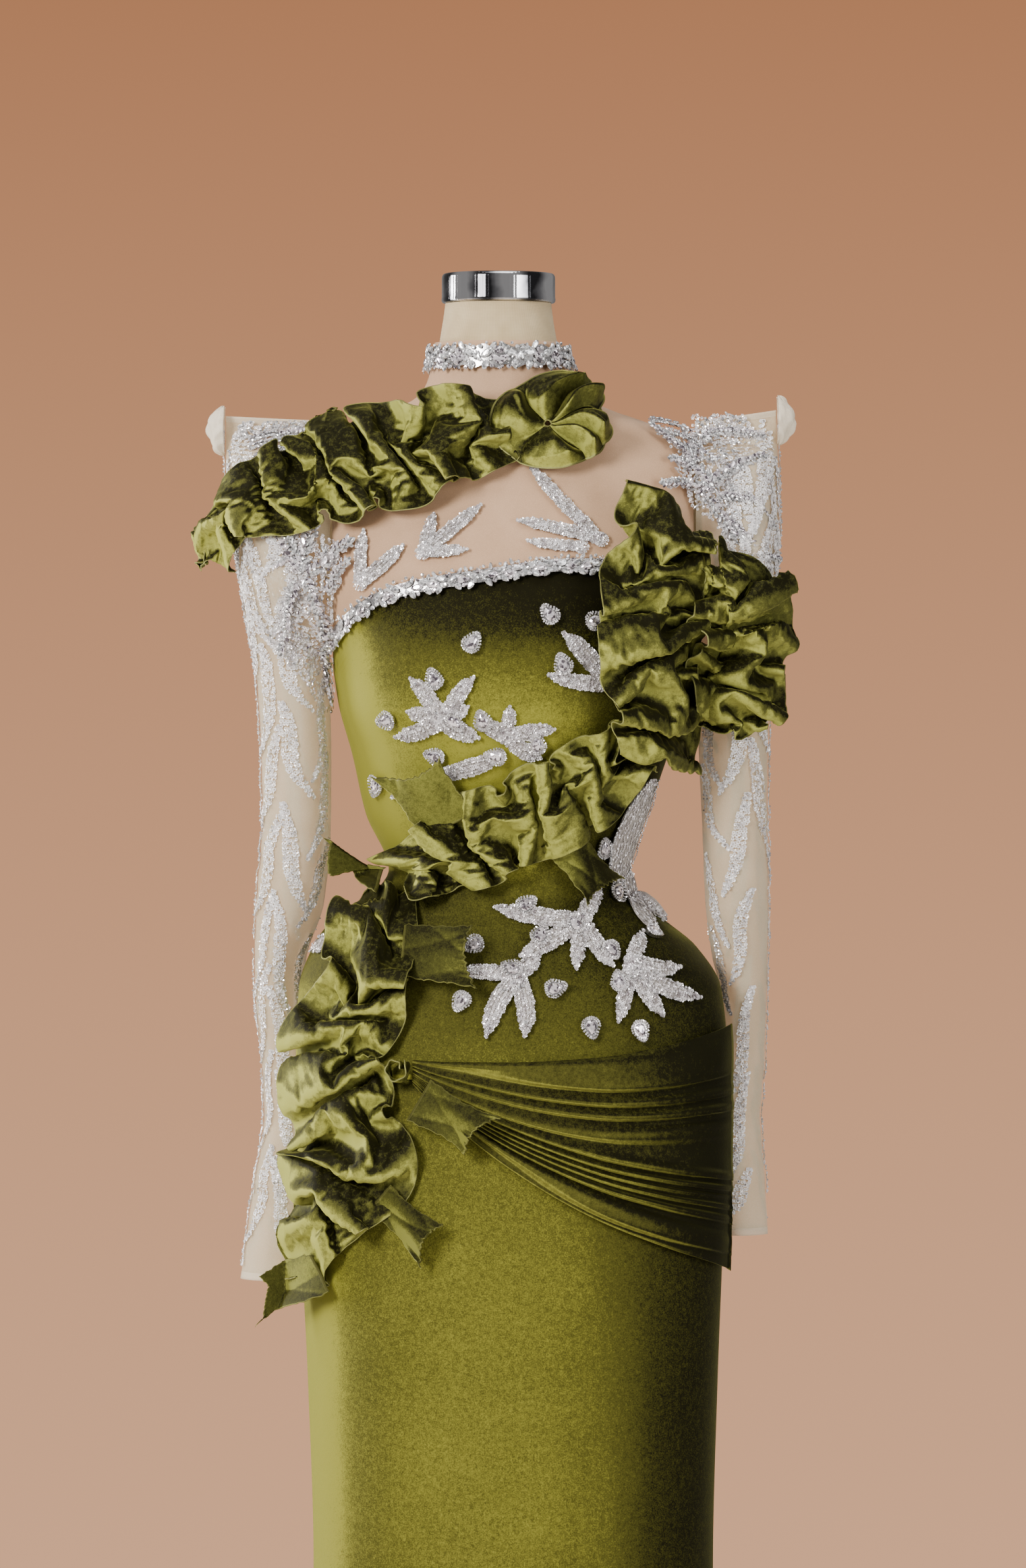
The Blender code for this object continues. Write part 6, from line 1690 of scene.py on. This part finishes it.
# ---------------------------------------------------------------- shoulder and arm leaves
STEM_COLUMNS = ("x0", "z0", "x1", "z1", "leaf")
LEAVES = (
    # name, node, stems
    ("shoulder_crystals_left_leaves", "shoulder_crystals_left", (
        (0.1650, 1.4230, 0.1160, 1.4660, 0.0086), (0.1655, 1.4190, 0.1240, 1.4225, 0.0078),
        (0.1655, 1.4240, 0.2030, 1.4440, 0.0088), (0.1560, 1.4150, 0.1780, 1.3820, 0.0088),
        (0.1760, 1.3900, 0.1950, 1.3720, 0.0076), (0.1680, 1.4120, 0.1990, 1.4060, 0.0070),
        (0.1380, 1.4520, 0.1640, 1.4420, 0.0070), (0.1900, 1.4150, 0.2100, 1.3900, 0.0062),
        (0.1500, 1.4350, 0.1300, 1.4420, 0.0070))),
    ("shoulder_ridge_left_leaves", None, (
        (0.1120, 1.4720, 0.1600, 1.4600, 0.0070), (0.1560, 1.4640, 0.2060, 1.4640, 0.0062),
        (0.1240, 1.4640, 0.1500, 1.4530, 0.0062), (0.1930, 1.3640, 0.2150, 1.3620, 0.0060))),
    ("shoulder_crystals_right_leaves", "shoulder_crystals_right", (
        (-0.2180, 1.4560, -0.1480, 1.4660, 0.0066), (-0.2170, 1.4500, -0.1640, 1.4560, 0.0066),
        (-0.2120, 1.4440, -0.1680, 1.4480, 0.0062), (-0.1560, 1.4580, -0.1400, 1.4640, 0.0056))),
    ("arm_crystals_right_leaves", "arm_crystals_right", (
        (-0.1740, 1.3520, -0.1975, 1.3960, 0.0125), (-0.1740, 1.3500, -0.1640, 1.3890, 0.0118),
        (-0.1680, 1.3480, -0.1340, 1.3720, 0.0105), (-0.1700, 1.3460, -0.1560, 1.3050, 0.0100),
        (-0.1580, 1.3050, -0.1450, 1.2480, 0.0084), (-0.1780, 1.3430, -0.1900, 1.2900, 0.0094),
        (-0.1500, 1.3350, -0.1340, 1.3560, 0.0080), (-0.1850, 1.3600, -0.2060, 1.3500, 0.0080))),
)


def leaves(name, node, stems, seed):
    rng = np.random.default_rng(seed)
    bag = Bag()
    for stem in (dict(zip(STEM_COLUMNS, row)) for row in stems):
        t = np.linspace(0, 1, 40)
        bow = 0.05 * math.hypot(stem["x1"] - stem["x0"], stem["z1"] - stem["z0"]) * np.sin(PI * t)
        x = stem["x0"] + (stem["x1"] - stem["x0"]) * t
        z = stem["z0"] + (stem["z1"] - stem["z0"]) * t + bow
        leaf = stem["leaf"]
        place, normal, along = trail(front_cloth, x, z, 0.52 * leaf, 0.0070)
        n = len(place)
        shrink = (1.0 - 0.22 * np.linspace(0, 1, n))[:, None]
        for turn in (-1, 1):
            side = np.cross(normal, along) * turn
            lean = np.radians(38 + 8 * rng.standard_normal(n))[:, None]
            heading = along * np.cos(lean) + side * np.sin(lean)
            size = np.stack([0.52 * leaf * shrink[:, 0], 0.52 * leaf * shrink[:, 0] * 0.86,
                             np.full(n, 0.0024 + 0.10 * leaf)], -1)
            bag.add("marquise", place + heading * leaf * 0.42 + 0.0006 * normal * turn, tilted(normal, rng, 0.16), heading,
                    size, PINK if turn > 0 else STONE)
        bag.add("pear", place[-1] + along[-1] * leaf * 0.45, normal[-1], along[-1],
                (0.5 * leaf, 0.5 * leaf, 0.0034), STONE)
        dots, up, run = trail(front_cloth, x, z, 0.0034, 0.0086)
        bag.add("round", dots, tilted(up, rng, 0.15), run, (0.0015, 0.0015, 0.0016), STONE)
        points, heights, run = trail(front_cloth, x, z, 0.0016, 0.0056)
        for _ in range(3):
            shift = np.cross(heights, run) * (leaf * 0.55 * (2 * rng.random((len(points), 1)) - 1))
            bag.add("ring", points + shift, tilted(heights, rng, 0.2), run, 0.0015, (SEQUIN, SEQUIN))
    bag.build(name, SPARKLE, replaces=(node,) if node else (), slot="crystals")


for i, (name, node, stems) in enumerate(LEAVES):
    leaves(name, node, stems, 600 + i)

# close beading between the leaves: rings with small stones, and a few bare places
FIELD_COLUMNS = ("z", "x0", "x1")
FIELDS = (
    # name, share of stones, outline
    ("shoulder_left_beading", 0.22, (
        (1.4840, 0.1400, 0.1900), (1.4780, 0.1120, 0.1960), (1.4650, 0.1160, 0.2040), (1.4500, 0.1300, 0.2140), (1.4350, 0.1320, 0.2160),
        (1.4150, 0.1420, 0.2170), (1.3950, 0.1600, 0.2165), (1.3700, 0.1840, 0.2165), (1.3500, 0.2020, 0.2150))),
    ("shoulder_right_beading", 0.26, (
        (1.4770, -0.2260, -0.1600), (1.4700, -0.2300, -0.1480), (1.4600, -0.2330, -0.1460), (1.4500, -0.2340, -0.1700),
        (1.4380, -0.2340, -0.1980))),
    ("arm_right_beading", 0.14, (
        (1.3980, -0.2080, -0.1880), (1.3850, -0.2160, -0.1660), (1.3680, -0.2190, -0.1420), (1.3480, -0.2190, -0.1360),
        (1.3250, -0.2180, -0.1460), (1.2950, -0.1980, -0.1460), (1.2600, -0.1760, -0.1440), (1.2350, -0.1620, -0.1450))),
)
for i, (name, stone_share, outline) in enumerate(FIELDS):
    rng = np.random.default_rng(640 + i)
    edge = curves(outline, FIELD_COLUMNS, "z")
    z = np.arange(outline[-1][0], outline[0][0], 0.0024)
    x = np.arange(min(row[1] for row in outline), max(row[2] for row in outline), 0.0025)
    z, x = np.meshgrid(z, x, indexing="ij")
    x = x + 0.0012 * (np.arange(len(z)) % 2)[:, None] + 0.0006 * rng.standard_normal(x.shape)
    z = z + 0.0006 * rng.standard_normal(z.shape)
    bare = np.sin(190 * x + 2.5 * np.sin(110 * z)) * np.sin(150 * z + 2.0 * np.sin(130 * x) + i)
    keep = (x > edge["x0"](z)) & (x < edge["x1"](z)) & (bare < 0.62 + 0.2 * rng.random(x.shape)) & (front_y(x, z) < -0.0031)
    x, z = x[keep], z[keep]
    place, normal, along = frames(front_cloth, x, z, 2 * PI * rng.random(len(x)), np.full(len(x), 0.0044))
    bag = Bag()
    stone = rng.random(len(x)) < stone_share
    bag.add("ring", place[~stone], tilted(normal[~stone], rng, 0.24), along[~stone], 0.0013 + 0.0004 * rng.random((~stone).sum()),
            (SEQUIN, SEQUIN))
    long_one = stone & (rng.random(len(x)) < 0.55)
    round_one = stone & ~long_one
    bag.add("marquise", place[long_one] + normal[long_one] * 0.0006, tilted(normal[long_one], rng, 0.2), along[long_one],
            (0.0029, 0.0022, 0.0022), STONE)
    bag.add("round", place[round_one] + normal[round_one] * 0.0004, tilted(normal[round_one], rng, 0.2), along[round_one],
            (0.0016, 0.0016, 0.0018), PINK if i == 2 else STONE)
    bag.build(name, SPARKLE, slot="crystals")

# ---------------------------------------------------------------- sequin vines on the sleeves
VINE_COLUMNS = ("v", "drift", "length", "half", "every", "first", "until")
VINES = (
    # each row is a column of flame-shaped strokes down the sleeve: where it starts round the arm, how far round each
    # stroke drifts, its length and half width, the distance to the next stroke, the first one's drop from the top, and
    # the height where the column ends; the three short columns thicken the upper arm
    (0.12, 0.11, 0.078, 0.0050, 0.070, 0.012, 0.0),
    (0.26, -0.12, 0.092, 0.0060, 0.074, 0.000, 0.0),
    (0.37, 0.12, 0.086, 0.0056, 0.072, 0.034, 0.0),
    (0.485, -0.03, 0.088, 0.0024, 0.092, 0.004, 0.0),
    (0.18, 0.08, 0.062, 0.0050, 0.058, 0.020, 1.300),
    (0.32, -0.08, 0.062, 0.0052, 0.056, 0.008, 1.290),
    (0.43, 0.07, 0.062, 0.0050, 0.058, 0.026, 1.270),
    (0.60, -0.09, 0.084, 0.0054, 0.076, 0.012, 0.0),
    (0.74, 0.10, 0.086, 0.0056, 0.078, 0.034, 0.0),
    (0.88, -0.09, 0.080, 0.0048, 0.080, 0.020, 0.0),
)
BARE_FROM_V, BARE_BELOW_Z = 0.34, 1.200     # the outer front of the left sleeve stays bare below this height
for side, word in SIDES:
    cuff = (SLEEVE_LEFT if side > 0 else SLEEVE_RIGHT)[-1][0]
    rng = np.random.default_rng(700 + side)
    fronts, backs = Bag(), Bag()
    for row in (dict(zip(VINE_COLUMNS, row)) for row in VINES):
        top = 1.470 - row["first"]
        while top - 0.030 > max(cuff + 0.014, row["until"]):
            if side > 0 and top < BARE_BELOW_Z and BARE_FROM_V < row["v"] < 0.47:
                break
            length = min(row["length"] * (0.85 + 0.3 * rng.random()), top - cuff - 0.012)
            n, lanes = max(8, int(length / 0.0029)), 5 if row["half"] > 0.003 else 3
            t = np.linspace(0, 1, n)
            size = (0.9 + 0.35 * rng.random()) * row["half"] * np.sin(PI * np.clip(t * 0.93 + 0.07, 0, 1)) ** 0.55
            v = (row["v"] + row["drift"] * (t ** 1.6 - 0.35 + 0.16 * np.sin(2 * PI * t)) * (0.8 + 0.5 * rng.random())
                 + 0.010 * np.sin(5 * t + top * 60))
            z = top - length * t
            lane = np.linspace(-1, 1, lanes)[None, :]
            v = v[:, None] + lane * size[:, None] / 0.235 + 0.0016 * rng.standard_normal((n, lanes))
            z = z[:, None] + 0.0005 * rng.standard_normal((n, lanes))
            keep = (v > 0.035) & (v < 0.965)
            bag = fronts if row["v"] < 0.5 else backs
            kind = "ring" if row["v"] < 0.5 else "sequin"
            place, normal, along = frames(lambda v, z: sleeve_cloth(z, v, side, TULLE + 0.0), v[keep], z[keep],
                                          np.full(keep.sum(), -PI / 2), np.full(keep.sum(), 0.0007),
                                          away=lambda Q: sleeve_away(Q, side))
            bag.add(kind, place + normal * (0.0008 * rng.random((len(place), 1))), tilted(normal, rng, 0.20), along,
                    0.00150 + 0.00066 * rng.random(len(place)) ** 2, (1, 1))
            edge = rng.random(len(place)) < 0.13
            bag.add("bead", place[edge] + normal[edge] * 0.0012, normal[edge], along[edge], 0.00105, (2, 2))
            top -= row["every"] * (0.85 + 0.3 * rng.random())
    sparkle = [MAT_BACKING, MAT_SEQUIN_CLEAR, MAT_BEAD]
    fronts.build(f"sleeve_{word}_vines_front", sparkle, slot="sequins")
    backs.build(f"sleeve_{word}_vines_back", sparkle, slot="sequins")

# ---------------------------------------------------------------- lace panel at the side of the waist
LACE_COLUMNS = ("z", "x0", "x1")
LACE = ((1.1820, 0.1120, 0.1165), (1.1600, 0.0950, 0.1120), (1.1450, 0.0870, 0.1060), (1.1180, 0.0780, 0.0975),
        (1.1020, 0.0765, 0.0920), (1.0930, 0.0790, 0.0880))
LACE_AT = curves(LACE, LACE_COLUMNS, "z")
rng = np.random.default_rng(801)
z, u = np.meshgrid(np.linspace(1.1800, 1.0945, 46), np.linspace(0, 1, 10), indexing="ij")
P = on_body(LACE_AT["x0"](z) + (LACE_AT["x1"](z) - LACE_AT["x0"](z)) * u, z, 0.0042)
bag = Bag()
points, quads, _ = shell_arrays(P, 0.0008, from_axis)
bag.add_mesh(points, quads, BACKING)
px = (LACE_AT["x0"](z) + (LACE_AT["x1"](z) - LACE_AT["x0"](z)) * u).ravel() + 0.0004 * rng.standard_normal(z.size)
place, normal, along = frames(flat_body, px, z.ravel(), np.full(z.size, 1.2), np.full(z.size, 0.0047))
keep = rng.random(z.size) < 0.85
bag.add("ring", place[keep], tilted(normal[keep], rng, 0.18), along[keep], 0.00115, (SEQUIN, SEQUIN))
keep = (u.ravel() < 0.01) | (u.ravel() > 0.99)
bag.add("round", place[keep] + normal[keep] * 0.0004, normal[keep], along[keep], (0.0012, 0.0012, 0.0012), STONE)
bag.build("lace_side_left_sequins", SPARKLE, replaces=("lace_side_left",), slot="sequins")

# ---------------------------------------------------------------- zip
z = np.arange(1.4990, 0.9480, -0.0016)
bag = Bag()
for turn in (-1, 1):
    place = body(z + 0.0004 * turn, np.full(z.shape, PI), 0.0004) + np.array([0.0009 * turn, 0, 0])
    bag.add("bead", place, (0.0, 1.0, 0.0), (1.0, 0.0, 0.0), (0.0013, 0.00055, 0.0007), (0, 0))
bag.build("zip_teeth", [MAT_ZIP], slot="zip_metal")
for name in ("zip_slider", "zip_pull"):
    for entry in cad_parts[name].material_slots:
        entry.material = MAT_ZIP

# ---------------------------------------------------------------- stage, light and camera
bpy.context.scene.world = bpy.context.scene.world or bpy.data.worlds.new("studio")
world = bpy.context.scene.world
world.use_nodes = True
tree = world.node_tree
tree.nodes.clear()
out = tree.nodes.new("ShaderNodeOutputWorld")
seen, fill = tree.nodes.new("ShaderNodeBackground"), tree.nodes.new("ShaderNodeBackground")
rays, mix = tree.nodes.new("ShaderNodeLightPath"), tree.nodes.new("ShaderNodeMixShader")
facing, height = tree.nodes.new("ShaderNodeTexCoord"), tree.nodes.new("ShaderNodeSeparateXYZ")
# The backdrop that the camera sees grows darker towards the top: painted falloff of the studio light.
backdrop = tree.nodes.new("ShaderNodeValToRGB")
tree.links.new(facing.outputs["Generated"], height.inputs[0])
share = tree.nodes.new("ShaderNodeMapRange")
share.inputs["From Min"].default_value, share.inputs["From Max"].default_value = 0.14, -0.14
tree.links.new(height.outputs["Z"], share.inputs["Value"])
tree.links.new(share.outputs["Result"], backdrop.inputs["Fac"])
backdrop.color_ramp.elements[0].color = (0.405, 0.150, 0.060, 1)
backdrop.color_ramp.elements[1].color = (0.97, 0.535, 0.310, 1)
tree.links.new(backdrop.outputs["Color"], seen.inputs["Color"])
seen.inputs["Strength"].default_value = 1.0
fill.inputs["Color"].default_value = (0.95, 0.92, 0.90, 1)
fill.inputs["Strength"].default_value = 0.25
tree.links.new(rays.outputs["Is Camera Ray"], mix.inputs["Fac"])
tree.links.new(fill.outputs[0], mix.inputs[1])
tree.links.new(seen.outputs[0], mix.inputs[2])
tree.links.new(mix.outputs[0], out.inputs["Surface"])

floor_mesh = bpy.data.meshes.new("studio_floor")
ring = [(4.0 * math.cos(2 * PI * i / 96), 4.0 * math.sin(2 * PI * i / 96), 0.0) for i in range(96)]
floor_mesh.from_pydata(ring, [], [list(range(96))])
floor = bpy.data.objects.new("studio_floor", floor_mesh)
DRESS.objects.link(floor)
paint = Nodes("floor_paint")
paint.ramp(paint.noise(3.0, 4.0), [(0.3, (0.62, 0.57, 0.52)), (0.7, (0.66, 0.61, 0.56))], paint.shader.inputs["Base Color"])
paint.set(rough=0.75, spec=0.2)
floor_mesh.materials.append(paint.material)


def soft_light(name, place, towards, size, size_y, energy, colour=(1.0, 1.0, 1.0)):
    data = bpy.data.lights.new(name, "AREA")
    data.shape = "RECTANGLE"
    data.size, data.size_y = size, size_y
    data.energy = energy
    data.color = colour
    obj = bpy.data.objects.new(name, data)
    obj.location = place
    obj.rotation_euler = (Vector(towards) - Vector(place)).to_track_quat("-Z", "Y").to_euler()
    bpy.context.scene.collection.objects.link(obj)


soft_light("key", (-1.9, -2.7, 2.35), (0.0, 0.0, 1.20), 0.9, 1.3, 152, (1.0, 0.97, 0.93))
soft_light("rim_left", (-2.2, 0.75, 1.30), (-0.05, 0.0, 1.05), 0.5, 1.8, 56, (1.0, 0.98, 0.95))
soft_light("fill_right", (2.6, -2.2, 1.6), (0.0, 0.0, 1.2), 1.6, 1.8, 58, (1.0, 0.99, 0.97))
soft_light("top", (0.0, -0.6, 3.4), (0.0, 0.0, 1.2), 1.6, 1.6, 24)

camera_data = bpy.data.cameras.new("photograph")
camera_data.sensor_fit = "AUTO"
camera_data.sensor_width = 36.0
camera_data.lens = 36.0 * 7.0 / 1.309
camera = bpy.data.objects.new("photograph", camera_data)
camera.location = (0.0, -7.0, 1.175)
camera.rotation_euler = (PI / 2, 0.0, 0.0)
bpy.context.scene.collection.objects.link(camera)
bpy.context.scene.camera = camera
